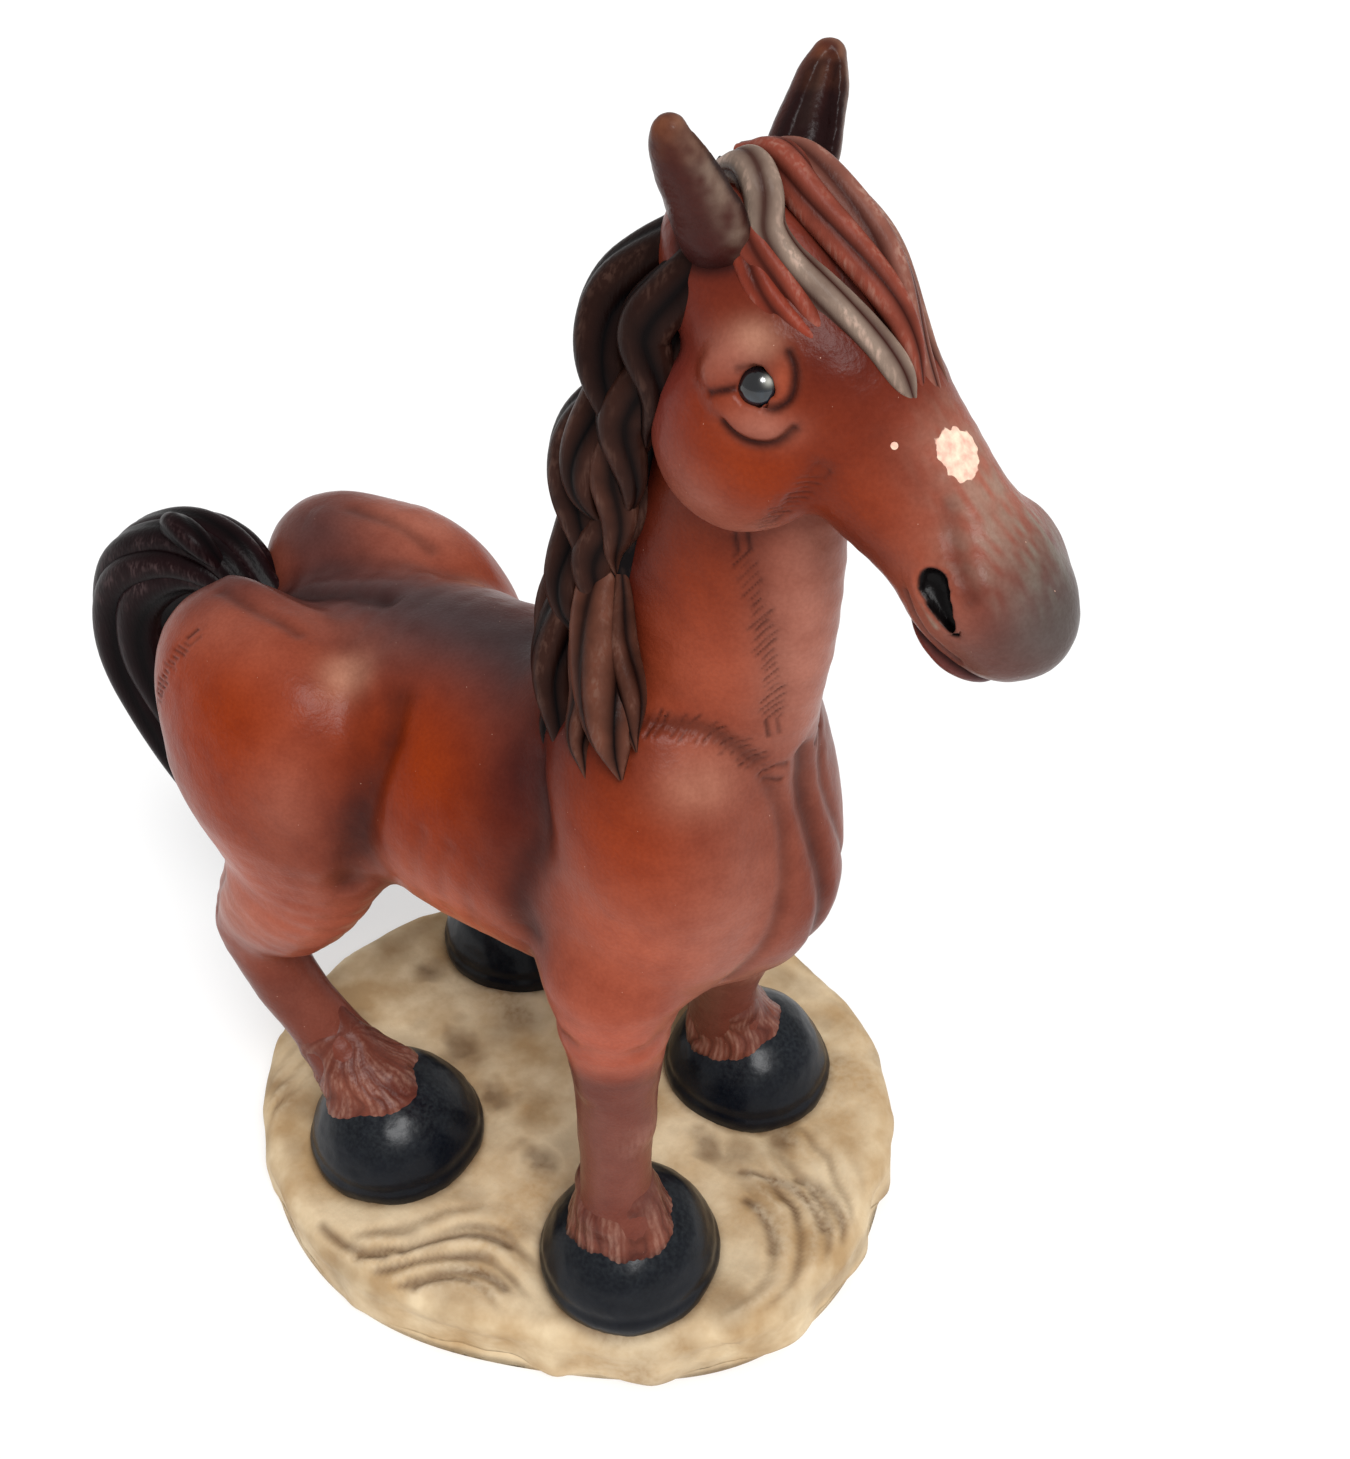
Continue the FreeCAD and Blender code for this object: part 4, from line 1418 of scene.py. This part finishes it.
# %% The lock recipe
class Recipe(Nodes):
    """A Geometry Nodes tree with named inputs."""

    def __init__(self, name):
        group = bpy.data.node_groups.new(name, "GeometryNodeTree")
        super().__init__(group)
        for direction in ("INPUT", "OUTPUT"):
            group.interface.new_socket("Geometry", in_out=direction, socket_type="NodeSocketGeometry")
        self.entry = group.nodes.new("NodeGroupInput")
        self.identifiers = {}

    def size(self, name, kind="NodeSocketFloat"):
        """Adds a named input."""
        item = self.tree.interface.new_socket(name, in_out="INPUT", socket_type=kind)
        self.identifiers[name] = item.identifier
        return Wire(self, self.entry.outputs[name])

    def attribute(self, name):
        return self.add("GeometryNodeInputNamedAttribute", {"data_type": "FLOAT"}, {"Name": name})


def lock_recipe():
    recipe = Recipe("carved locks")
    strands = recipe.size("Strands")
    groove = recipe.size("Groove depth")
    corners = recipe.size("Profile corners", "NodeSocketInt")
    material = recipe.size("Material", "NodeSocketMaterial")
    paths = Wire(recipe, recipe.entry.outputs["Geometry"])
    curve = recipe.add("GeometryNodeMeshToCurve", {}, {"Mesh": paths})
    curve = recipe.add("GeometryNodeSetCurveTilt", {}, {"Curve": curve, "Tilt": recipe.attribute("twist")})
    ring = recipe.add("GeometryNodeCurvePrimitiveCircle", {}, {"Resolution": corners, "Radius": 1.0})
    turn = recipe.add("GeometryNodeSplineParameter")
    wave = (turn * strands * math.pi).sine()
    height = wave.math("ABSOLUTE", wave)
    place = recipe.add("ShaderNodeVectorMath", {"operation": "SCALE"}, {
        0: recipe.add("GeometryNodeInputPosition"), "Scale": 1 - groove * (1 - height)})
    ring = recipe.add("GeometryNodeStoreNamedAttribute", {"data_type": "FLOAT", "domain": "POINT"}, {
        "Geometry": ring, "Name": "ridge", "Value": height})
    ring = recipe.add("GeometryNodeSetPosition", {}, {"Geometry": ring, "Position": place})
    locks = recipe.add("GeometryNodeCurveToMesh", {}, {
        "Curve": curve, "Profile Curve": ring, "Scale": recipe.attribute("size"), "Fill Caps": True})
    smooth = recipe.add("GeometryNodeSetShadeSmooth", {}, {"Geometry": locks, "Shade Smooth": True})
    solid = recipe.add("GeometryNodeRealizeInstances", {}, {"Geometry": smooth})
    painted = recipe.add("GeometryNodeSetMaterial", {}, {"Geometry": solid, "Material": material})
    leave = recipe.tree.nodes.new("NodeGroupOutput")
    recipe.tree.links.new(painted.socket, leave.inputs["Geometry"])
    return recipe


LOCK_RECIPE = lock_recipe()


# %% Grow a bundle of locks
def grow(node, locks, material, steps, strands=4, groove=0.2, corners=50):
    """locks: lists of rows x, y, z, radius, with a twist in turns and a tone for each lock."""
    name = node + "_hair"
    vertices, sizes, twists, tones, edges = [], [], [], [], []
    for rows, twist, tone in locks:
        path = smooth_path(rows, steps)
        first = len(vertices)
        along = np.linspace(0, 1, len(path))
        vertices.extend(path[:, :3])
        sizes.extend(np.maximum(path[:, 3], 0.08) * MM)
        twists.extend(along * twist * math.tau)
        tones.extend(np.full(len(path), tone))
        edges.extend((first + k, first + k + 1) for k in range(len(path) - 1))
    mesh = bpy.data.meshes.new(name + "_paths")
    mesh.from_pydata([tuple(np.array(v) * MM) for v in vertices], edges, [])
    for key, values in (("size", sizes), ("twist", twists), ("tone", tones)):
        write_attribute(mesh, key, values)
    source = new_object(name + "_paths", mesh)
    modifier = source.modifiers.new("locks", "NODES")
    modifier.node_group = LOCK_RECIPE.tree
    settings = {"Strands": float(strands), "Groove depth": groove, "Profile corners": corners,
                "Material": material}
    for key, value in settings.items():
        modifier[LOCK_RECIPE.identifiers[key]] = value
    source.update_tag()
    evaluated = source.evaluated_get(bpy.context.evaluated_depsgraph_get())
    result = bpy.data.meshes.new_from_object(evaluated)
    result.name = name
    source.modifiers.remove(modifier)
    bpy.data.objects.remove(source)
    piece = new_object(name, result)
    settle(piece, material, "hair_paint", node)
    print(node, len(locks), "locks,", len(result.polygons), "faces")


# %% Mane
CREST = [(16.5, 134.0), (12.9, 127.0), (11.9, 122.0), (10.4, 116.0), (8.3, 111.0), (7.2, 105.0), (6.1, 96.0),
         (5.9, 84.0)]


def crest(z):
    rows = np.array(CREST)[::-1]
    return float(np.interp(z, rows[:, 1], rows[:, 0]))


def wavy(rows, swing, phase):
    """A lock's rows with a sideways wave along it, as wind-blown hair has."""
    rows = smooth_path(rows, 3)
    along = np.linspace(0, 1, len(rows))
    wave = swing * np.sin(along * 8.5 + phase) * np.sin(along * math.pi)
    rows[:, 0] += wave
    rows[:, 1] += 0.4 * wave
    return rows


def mane_locks():
    core = [(19.4, -0.4, 133, 1.6), (16.4, -1.6, 129, 3.0), (14.2, -2.2, 122, 3.5), (12.6, -2.8, 112, 4.1),
            (11.6, -3.4, 100, 4.4), (10.8, -4.0, 90, 4.0), (10.4, -4.5, 85, 2.2)]
    locks = [(core, 0.15, 0.0)]
    draw = np.random.default_rng(71)
    for z in (135, 128.5, 122, 115, 108, 101, 95):
        sway = draw.uniform(-0.5, 0.5, 4)
        x = crest(z)
        length = 20 + 4 * sway[0]
        front = [(x + 2.2, 0.8, z + 1, 0.9), (x + 0.8, -1.0, z - 0.18 * length, 2.3),
                 (crest(z - 9) + 0.6, -3.6, z - 0.42 * length, 2.9),
                 (crest(z - 14) + 1.6, -6.0, z - 0.68 * length, 2.6),
                 (crest(z - 18) + 3.4, -7.4, z - 0.9 * length, 1.5),
                 (crest(z - 21) + 4.8, -7.4, z - 1.05 * length, 0.1)]
        locks.append((wavy(front, 0.9, 6 * sway[1]), 0.2, 0.1 + 0.25 * draw.uniform()))
        inner = [(x + 3.6, -1.8, z, 0.8), (x + 3.6, -4.8, z - 0.25 * length, 2.1),
                 (crest(z - 11) + 4.6, -6.6, z - 0.52 * length, 2.3),
                 (crest(z - 16) + 6.0, -7.2, z - 0.78 * length, 1.4),
                 (crest(z - 20) + 6.8, -7.0, z - 1.0 * length, 0.1)]
        locks.append((wavy(inner, 0.8, 6 * sway[2]), -0.2, 0.15 + 0.35 * draw.uniform()))
        if z > 97:
            left = [(x + 2.6, 0.2, z, 0.8), (x + 2.2, 2.2, z - 0.25 * length, 2.0),
                    (crest(z - 11) + 3.0, 3.4, z - 0.52 * length, 2.0),
                    (crest(z - 18) + 4.8, 4.0, z - 0.85 * length, 0.1)]
            locks.append((wavy(left, 0.7, 6 * sway[3]), 0.2, 0.2))
    return locks


def shoulder_locks():
    core = [(11.4, -5.6, 104.5, 1.4), (12.4, -7.8, 99.5, 2.5), (14.4, -10.2, 94.5, 2.8),
            (16.8, -12.4, 91, 2.2),
            (19.0, -14.0, 88.2, 0.2)]
    return [
        (core, 0.25, 1.0),
        (wavy([(8.6, -4.6, 103, 0.8), (8.0, -6.8, 97, 2.2), (8.4, -8.8, 91, 2.3), (10.0, -11.0, 86.5, 1.4),
               (11.4, -12.4, 83.6, 0.1)], 0.6, 1.0), 0.25, 0.25),
        (wavy([(13.8, -6.6, 103, 0.6), (15.2, -8.4, 98, 1.5), (17.2, -10.6, 93.8, 1.4),
               (19.6, -12.6, 90.6, 0.1)],
              0.3, 2.0), -0.2, 0.6),
        (wavy([(6.4, -3.4, 98, 0.8), (6.0, -5.6, 91.5, 2.0), (6.6, -8.0, 86, 1.6), (8.0, -10.2, 81.8, 0.1)],
              0.6, 3.0), 0.25, 0.1),
        (wavy([(10.2, -6.6, 99, 0.5), (11.6, -9.4, 94, 1.6), (13.2, -11.8, 89.6, 1.5),
               (15.4, -14.2, 86.4, 0.1)],
              0.5, 4.0), 0.2, 0.7),
    ]


MANE_HAIR = hair_paint("mane paint", (3, 2, 3), (13, 7, 8), (104, 62, 48), (116, 86, 74), 0.55)
grow("mane", mane_locks(), MANE_HAIR, steps=4)
grow("shoulder_lock", shoulder_locks(), MANE_HAIR, steps=4)


# %% Forelock and tail
def forelock_locks():
    core = [(18.6, 0, 132.5, 1.5), (21.6, 0, 133.6, 3.0), (26, 0, 131.4, 3.4), (30.4, 0, 127.8, 2.9),
            (34, -0.2, 124.2, 1.8), (36.2, -0.4, 122.0, 0.3)]
    return [
        (core, 0.2, 0.0),
        (wavy([(19.4, -1.2, 136.2, 0.8), (22.0, -2.2, 137.2, 1.5), (23.8, -3.0, 135.9, 1.6),
               (24.8, -3.3, 133.9, 1.5), (26.8, -3.2, 132.0, 1.5), (29.8, -2.9, 129.9, 1.5),
               (32.8, -2.5, 127.5, 1.4), (35.0, -2.2, 125.4, 1.2),
               (36.6, -2.0, 123.6, 0.1)], 0.4, 0.5), 0.3, 1.0),
        (wavy([(20.4, -2.8, 135.0, 0.8), (22.6, -3.8, 134.6, 1.4), (24.8, -4.2, 132.2, 1.4),
               (27.6, -4.2, 129.6, 1.3), (30.8, -3.8, 127.0, 1.1),
               (34.2, -3.2, 124.2, 0.1)], 0.4, 3.0), 0.3, 0.05),
        (wavy([(19.6, 0.6, 136.8, 0.8), (23.4, 0.2, 137.2, 1.6), (27.6, -0.2, 134.4, 1.6),
               (31.6, -0.4, 130.4, 1.5),
               (34.8, -0.6, 126.6, 1.0), (36.8, -1.0, 123.6, 0.1)], 0.6, 2.0), -0.3, 0.1),
        (wavy([(19.8, 2.2, 136.2, 0.8), (24.2, 1.8, 136.6, 1.7), (28.8, 1.5, 133.4, 1.7),
               (32.8, 1.1, 129.2, 1.4),
               (36, 0.6, 125, 0.9), (37.4, 0.4, 122.8, 0.1)], 0.6, 4.0), 0.3, 0.35),
        (wavy([(19.4, 3.6, 134.6, 0.8), (23.6, 3.9, 134.8, 1.6), (28.6, 3.5, 132.0, 1.8),
               (32.8, 2.8, 128.2, 1.4),
               (36.0, 2.0, 124.2, 0.8), (37.2, 1.6, 122.4, 0.1)], 0.5, 5.0), -0.3, 0.55),
        (wavy([(21, -3.2, 133.6, 0.6), (24, -4.7, 131.8, 1.2), (27.4, -5.0, 129.2, 1.2),
               (30.6, -4.6, 126.6, 0.9),
               (33.4, -3.8, 124.2, 0.1)], 0.4, 1.0), 0.3, 0.0),
    ]


TAIL_MIDDLE = [
    (-39.5, 0, 70, 2.8), (-44, 0, 73.5, 3.2), (-48, 0, 75.8, 4.0), (-53.8, -0.8, 75.2, 5.0),
    (-60.2, -2, 70, 5.9), (-62.4, -2.6, 60.5, 6.1), (-59.2, -2.6, 50, 5.6), (-54.4, -2.6, 40, 4.4),
    (-51, -2.6, 32, 2.6), (-50, -2.6, 27, 0.8),
]


def tail_locks():
    """Locks that follow the tail's middle, each on its own side of it."""
    middle = smooth_path(TAIL_MIDDLE, 3)
    locks = [(np.array(TAIL_MIDDLE) * (1, 1, 1, 0.9), 0.2, 0.0)]
    draw = np.random.default_rng(83)
    along = np.gradient(middle[:, :3], axis=0)
    along /= np.linalg.norm(along, axis=1)[:, None]
    outwards = np.cross(along, (0, 1, 0))
    for number in range(8):
        angle = math.tau * number / 8 + draw.uniform(-0.12, 0.12)
        start = int(draw.integers(0, 3))
        end = len(middle) - int(draw.integers(0, 6))
        part = slice(start, end)
        wave = angle + 0.35 * np.sin(np.linspace(0, 5, end - start) + draw.uniform(0, 6))
        side = outwards[part] * np.cos(wave)[:, None] + np.array((0, 1, 0)) * np.sin(wave)[:, None]
        rows = np.column_stack([middle[part, :3] + side * (middle[part, 3] * 0.62)[:, None],
                                middle[part, 3] * 0.5])
        rows[0, 3] = 0.4
        rows[-1, 3] = 0.1
        locks.append((rows, 0.2, 0.1 + 0.3 * draw.uniform()))
    locks.append(([(-46, -2.4, 77.5, 0.8), (-48.6, -3.2, 80, 1.7), (-52, -3, 80.8, 1.7), (-54.6, -2, 79, 1.1),
                   (-55, -1, 76.8, 0.3)], 0.3, 0.2))
    return locks


FORELOCK_HAIR = hair_paint("forelock paint", (52, 19, 14), (142, 60, 43), (146, 126, 112), (190, 160, 144),
                           0.8)
TAIL_HAIR = hair_paint("tail paint", (4, 2, 3), (20, 8, 10), (46, 24, 26), (104, 84, 84), 0.6)
grow("forelock", forelock_locks(), FORELOCK_HAIR, steps=4)
grow("tail", tail_locks(), TAIL_HAIR, steps=3, strands=3, groove=0.14, corners=40)
print("hair", round(time.time() - start_time, 1), "s")


# %% [markdown]
# ## Feathers and hooves
#
# A draught horse has long hair, the feather, round its fetlocks. Here it is a skirt of clay with furrows
# that run down it, flaring over the hoof. The hooves are heavy domes with a worn lower edge. Both are made
# once and placed by each foot's own box.

# %% Feathers
def build_feather(corner, material, seed):
    low, high = box_mm("feather_" + corner)
    hoof_low, hoof_high = box_mm("hoof_" + corner)
    foot = (hoof_low + hoof_high) / 2
    step = 0.36
    stations = LEGS[corner][-2:]
    ankle = np.array(stations[0][:3])
    clay = Clay(low - 3, high + 3, step)
    base = np.array(stations[1][:3])
    base = base + (foot - base) * (0.12, 0.12, 0)
    rows = [(*LEGS[corner][-3][:3], 3.7, 3.8), (*ankle, 4.9, 5.2), (*base, 6.3, 6.5),
            (*(base - (0, 0, 2.6)), 6.4, 6.6)]
    clay.limb("feather", rows, side=(0, 1, 0), blend=0.1)

    def shape(skin):
        points = skin.vertices
        angle = np.arctan2(points[:, 1] - ankle[1], points[:, 0] - ankle[0])
        drop = np.clip((high[2] - points[:, 2]) / (high[2] - low[2]), 0, 1)
        wander = 0.9 * noise(points, 4.0, seed) + 0.3 * noise(points, 1.6, seed + 1)
        furrow = np.abs(np.sin(angle * 6 + 3.0 * wander))
        fine = np.abs(np.sin(angle * 23 + 3.0 * wander))
        strands = 0.16 * (furrow - 0.6) + 0.1 * (fine - 0.5)
        skin.offset += drop * strands + 0.5 * noise(points, 2.8, seed + 2)
        skin.ridge = np.clip(0.65 * furrow + 0.35 * fine, 0, 1)
        skin.wash = np.clip(0.6 - 1.4 * furrow, 0, 1) * drop

    def paint(skin):
        points = skin.vertices
        skin.paint = np.tile(display_colour(104, 58, 50), (len(points), 1))
        blend_to(skin.paint, display_colour(138, 86, 72), 0.4 + 0.5 * noise(points, 3.0, seed + 3))
        top = np.clip((points[:, 2] - high[2] + 5) / 5, 0, 1)
        blend_to(skin.paint, display_colour(104, 58, 50), top)
        skin.rub = np.clip((skin.ridge - 0.6) / 0.4, 0, 1) * 0.22 * (1 - top)
        skin.wash = np.maximum(skin.wash, 0.7 * np.clip((low[2] + 1.2 - points[:, 2]) / 1.2, 0, 1))

    sculpt("feather_" + corner + "_hair", "feather_" + corner, "feather_paint", material, clay, shape, paint)


# %% Hooves
def build_hoof(corner, material, seed):
    low, high = box_mm("hoof_" + corner)
    middle = (low + high) / 2
    step = 0.6
    clay = Clay(low - 3, high + 3, step)
    radii = (high - low) / 2
    centre = np.array((middle[0], middle[1], GROUND + 1.0))
    clay.ball("hoof", centre, (radii[0], radii[1], high[2] - centre[2]), blend=0.1)
    clay.ball("hoof", centre + (0, 0, 0.4), (radii[0], radii[1], 3.4), blend=2.0)
    sole = clay.low[2] + clay.step * np.arange(clay.distance.shape[2])
    clay.distance = np.maximum(clay.distance, (GROUND - 0.3 - sole)[None, None, :].astype(np.float32))

    def shape(skin):
        points = skin.vertices
        skin.offset += 0.22 * noise(points, 4.5, seed) + 0.05 * noise(points, 1.3, seed + 1)
        edge = np.exp(-((points[:, 2] - GROUND - 2.6) / 0.7) ** 2)
        skin.offset -= 0.22 * edge
        # the mask is strongest at the bottom edge of the hoof
        skin.wash = np.clip((GROUND + 1.4 - points[:, 2]) / 1.6, 0, 1)

    def paint(skin):
        # a pale rub on the up-facing top of the hoof: partly dry brush, partly a painted highlight
        skin.rub = np.clip((skin.normals[:, 2] - 0.35) / 0.5, 0, 1) * 0.8

    sculpt("hoof_" + corner + "_shell", "hoof_" + corner, "hoof_paint", material, clay, shape, paint)


FEATHER_PAINT = coat_paint()
FEATHER_PAINT.name = "feather paint"
HOOF_PAINT = hoof_paint()
for number, corner in enumerate(CORNERS):
    build_feather(corner, FEATHER_PAINT, 100 + 10 * number)
    build_hoof(corner, HOOF_PAINT, 200 + 10 * number)


# %% [markdown]
# ## The rock
#
# The rock is a flat, lumpy oval. Its skin is a grid of rings: they grow from the middle of the top to the
# rim, run down the side and close under the base. On top, arcs of shallow furrows run round the hooves as
# water marks do on sandstone, and brown wash lies in them.

# %% Rock
ROCK_SPOKES = 420
ROCK_TOP_RINGS = 104
ROCK_EDGE_RINGS = 16
ROCK_SIDE_RINGS = 12
ROCK_EDGE_RADIUS = 3.4


def build_rock(material):
    middle = (rock_low + rock_high) / 2
    half = (rock_high - rock_low) / 2
    theta = np.linspace(0, math.tau, ROCK_SPOKES, endpoint=False)
    outline = 1 + 0.035 * np.cos(2 * theta - 1.26)
    outline += 0.022 * np.cos(3 * theta + 0.7) + 0.014 * np.cos(5 * theta + 2.0)
    reach_x = np.abs(outline * np.cos(theta)).max()
    reach_y = np.abs(outline * np.sin(theta)).max()
    rim_x = half[0] * outline * np.cos(theta) / reach_x
    rim_y = half[1] * outline * np.sin(theta) / reach_y
    height = rock_high[2] - rock_low[2]
    edge = ROCK_EDGE_RADIUS
    rows = [(scale * (1 - edge / half[0]), height) for scale in np.linspace(0.02, 1, ROCK_TOP_RINGS)]
    for angle in np.linspace(0, math.pi / 2, ROCK_EDGE_RINGS)[1:]:
        rows.append((1 - edge / half[0] * (1 - math.sin(angle)), height - edge * (1 - math.cos(angle))))
    for z in np.linspace(height - edge, 0.6, ROCK_SIDE_RINGS)[1:]:
        rows.append((1.0, z))
    for scale in (0.985, 0.9, 0.6, 0.3, 0.02):
        rows.append((scale, 0.0))
    rows = np.array(rows)
    vertices = np.stack([
        middle[0] + rows[:, 0, None] * rim_x, middle[1] + rows[:, 0, None] * rim_y,
        np.broadcast_to(rock_low[2] + rows[:, 1, None], (len(rows), ROCK_SPOKES)),
    ], 2).reshape(-1, 3)
    first = np.arange(len(rows) - 1)[:, None] * ROCK_SPOKES + np.arange(ROCK_SPOKES)
    following = np.arange(len(rows) - 1)[:, None] * ROCK_SPOKES + (np.arange(ROCK_SPOKES) + 1) % ROCK_SPOKES
    quads = np.stack([first, first + ROCK_SPOKES, following + ROCK_SPOKES, following], 2).reshape(-1, 4)
    skin = Skin(vertices, quads)
    shape_rock(skin)
    skin.finish()
    masks = {"wash": np.clip(skin.wash, 0, 1), "rub": np.clip(skin.rub, 0, 1)}
    piece = make_mesh("rock_stone", skin.vertices, skin.quads, skin.normals, masks)
    settle(piece, material, "rock_paint", "rock_base")
    print("rock", len(quads) * 2, "triangles")


def shape_rock(skin):
    points = skin.vertices
    middle_x, middle_y = (points.min(0) + points.max(0))[:2] / 2
    side = np.clip((GROUND - points[:, 2]) / 4, 0, 1)
    under = points[:, 2] < rock_low[2] + 0.5
    top = np.clip((points[:, 2] - GROUND + 0.6) / 0.5, 0, 1)
    for number, (x, y, inner, outer, towards, spread) in enumerate(RIPPLES):
        away = points[:, :2] - (x, y)
        distance = np.hypot(*away.T)
        turn = np.degrees(np.arctan2(away[:, 1], away[:, 0]))
        miss = np.abs((turn - towards + 180) % 360 - 180)
        inside = np.clip((spread - miss) / 20, 0, 1) * np.clip((distance - inner) / 3, 0, 1)
        inside *= np.clip((outer - distance) / 3, 0, 1) * top
        inside *= 0.4 + 0.6 * noise(points, 7.0, 50 + number) ** 2
        wander = distance + 1.6 * noise(points, 8.0, 60 + number) + 0.4 * noise(points, 2.5, 70 + number)
        wave = np.cos(math.tau * wander / 3.1)
        skin.offset += 0.42 * inside * (wave - 0.5 * np.clip(-wave - 0.4, 0, 1))
        skin.wash = np.maximum(skin.wash, 1.3 * inside * np.clip(-wave - 0.1, 0, 1))
        skin.rub = np.maximum(skin.rub, inside * np.clip(wave - 0.2, 0, 1))
    for x, y, radius, first, last in WATER_MARKS:
        turn = np.radians(np.linspace(first, last, 5))
        route = np.column_stack([x + radius * np.cos(turn), y + radius * np.sin(turn), np.full(5, GROUND)])
        skin.line(route, 0.7, 0.45, 0.75)
        middle = route[len(route) // 2, :2]
        away = unit(middle - (middle_x, middle_y))
        skin.line(route + (1.5 * away[0], 1.5 * away[1], 0), 0.8, -0.3, 0.0, 0.5)
    for number, (x, y, size) in enumerate(STAINS):
        patch = np.hypot(points[:, 0] - x, 1.4 * (points[:, 1] - y)) / size
        patch += 0.5 * noise(points, 3.0, 80 + number) + 0.25 * noise(points, 1.0, 90 + number)
        amount = np.clip((1.0 - patch) / 0.9, 0, 1) * top
        skin.wash = np.maximum(skin.wash, 0.7 * amount)
        skin.offset -= 0.3 * amount
    skin.offset += 0.5 * noise(points, 11.0, 31) + 0.22 * noise(points, 4.0, 32)
    skin.offset += 0.07 * noise(points, 1.4, 33)
    skin.offset += side * (1.0 * noise(points * (1, 1, 0.35), 5.0, 34) - 0.5)
    skin.offset -= 0.4 * (noise(points, 5.0, 35) > 0.5) * side
    skin.offset[under] = 0
    hollow = np.clip(-noise(points, 4.0, 32) - 0.2, 0, 1)
    cloudy = np.clip(1.3 * noise(points, 9.0, 36) + 0.5 * noise(points, 3.0, 37) - 0.25, 0, 1)
    skin.wash = np.maximum(skin.wash, np.maximum(0.5 * hollow, 0.45 * cloudy))
    skin.rub = np.maximum(skin.rub, np.clip(noise(points, 11.0, 31), 0, 1) * 0.5)
    for corner in CORNERS:
        low, high = box_mm("hoof_" + corner)
        middle, half = (low + high) / 2, (high - low) / 2
        away = np.hypot((points[:, 0] - middle[0]) / half[0], (points[:, 1] - middle[1]) / half[1]) - 1
        skin.wash = np.maximum(skin.wash, 0.8 * np.exp(-(np.maximum(away, 0) * half[0] / 0.9) ** 2))


# rings of ripples: centre x, y, inner and outer radius, direction and half spread in degrees
RIPPLES = [
    (20, -5, 8, 24, 30, 70), (5, -32, 5, 19, 130, 70), (-16, -18, 15, 30, 215, 55),
    (-22, 22, 14, 26, 130, 70),
    (16, 22, 13, 24, 55, 55),
]
# single water marks: centre x, y, radius, first and last direction in degrees
WATER_MARKS = [
    (25.5, -3, 11, 126, 47), (22, -5, 8.3, 90, 25), (27.5, 0, 9.9, 104, 32), (6, -31, 13, 163, 97),
    (6, -31, 8.3, 171, 79), (-14, -15, 14.7, -103, -60),
]
# brown stains, as x, y and size
STAINS = [
    (-21, 0.5, 4.2), (-13, -3, 4.6), (-1, -7.5, 3.8), (0.5, 6, 2.6), (14, 7, 4.2), (21, 13, 4.0),
    (-34, 8, 4.0),
]
build_rock(rock_paint())

FELT = felt_paint()
felt_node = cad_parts["felt_pad"]
felt_node.data.materials.clear()
felt_node.data.materials.append(FELT)
print("all pieces", round(time.time() - start_time, 1), "s")


# %% [markdown]
# ## Studio
#
# A pale floor fills the picture. A broad sun stands for a window at the upper right, behind the camera's
# shoulder. An even grey-white world and a faintly glowing floor fill the shadows from above and below, and the
# glow also makes the floor white in the picture.

# %% Floor, light and world
WORLD_STRENGTH = 0.535
FLOOR_GLOW = 0.36
SUN_STRENGTH = 2.3
SUN_WIDTH = math.radians(24)
SUN_AZIMUTH = math.radians(54)
SUN_ELEVATION = math.radians(55)


def build_studio():
    floor_paint = Paint("floor")
    cloudy = floor_paint.noise(60.0, 2.0)
    shade = floor_paint.mix(cloudy, (0.64, 0.64, 0.64), (0.66, 0.66, 0.66))
    glow = (FLOOR_GLOW, FLOOR_GLOW, FLOOR_GLOW, 1.0)
    material = floor_paint.finish(shade, 0.9, Specular_IOR_Level=0.1, Emission_Color=glow,
                                  Emission_Strength=1.0)
    half = 3.0 / MM
    corners = np.array([(-half, -half, 0), (half, -half, 0), (half, half, 0), (-half, half, 0)])
    floor = make_mesh("floor", corners, np.array([[0, 1, 2, 3]]))
    floor.data.materials.append(material)
    floor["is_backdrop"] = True
    sun = bpy.data.lights.new("window", "SUN")
    sun.energy = SUN_STRENGTH
    sun.angle = SUN_WIDTH
    lamp = bpy.data.objects.new("window", sun)
    towards_lamp = Vector((
        math.sin(SUN_AZIMUTH) * math.cos(SUN_ELEVATION),
        -math.cos(SUN_AZIMUTH) * math.cos(SUN_ELEVATION),
        math.sin(SUN_ELEVATION),
    ))
    lamp.rotation_euler = towards_lamp.to_track_quat("Z", "Y").to_euler()
    lamp.location = towards_lamp * 0.5
    bpy.context.collection.objects.link(lamp)
    world = bpy.data.worlds.new("even light")
    bpy.context.scene.world = world
    world.use_nodes = True
    background = world.node_tree.nodes["Background"]
    background.inputs["Color"].default_value = (1.0, 1.0, 1.0, 1.0)
    background.inputs["Strength"].default_value = WORLD_STRENGTH
    bpy.context.scene.view_settings.view_transform = "Standard"


build_studio()

# %% Sizes and finish
last_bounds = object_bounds()
sizes = [[list(map(float, corner)) for corner in box] for box in (first_bounds, last_bounds)]
for name, box in zip(("packed", "finished"), sizes):
    print(name, "box in mm:", [[round(value / MM, 1) for value in corner] for corner in box])
print("whole scene", round(time.time() - start_time, 1), "s")
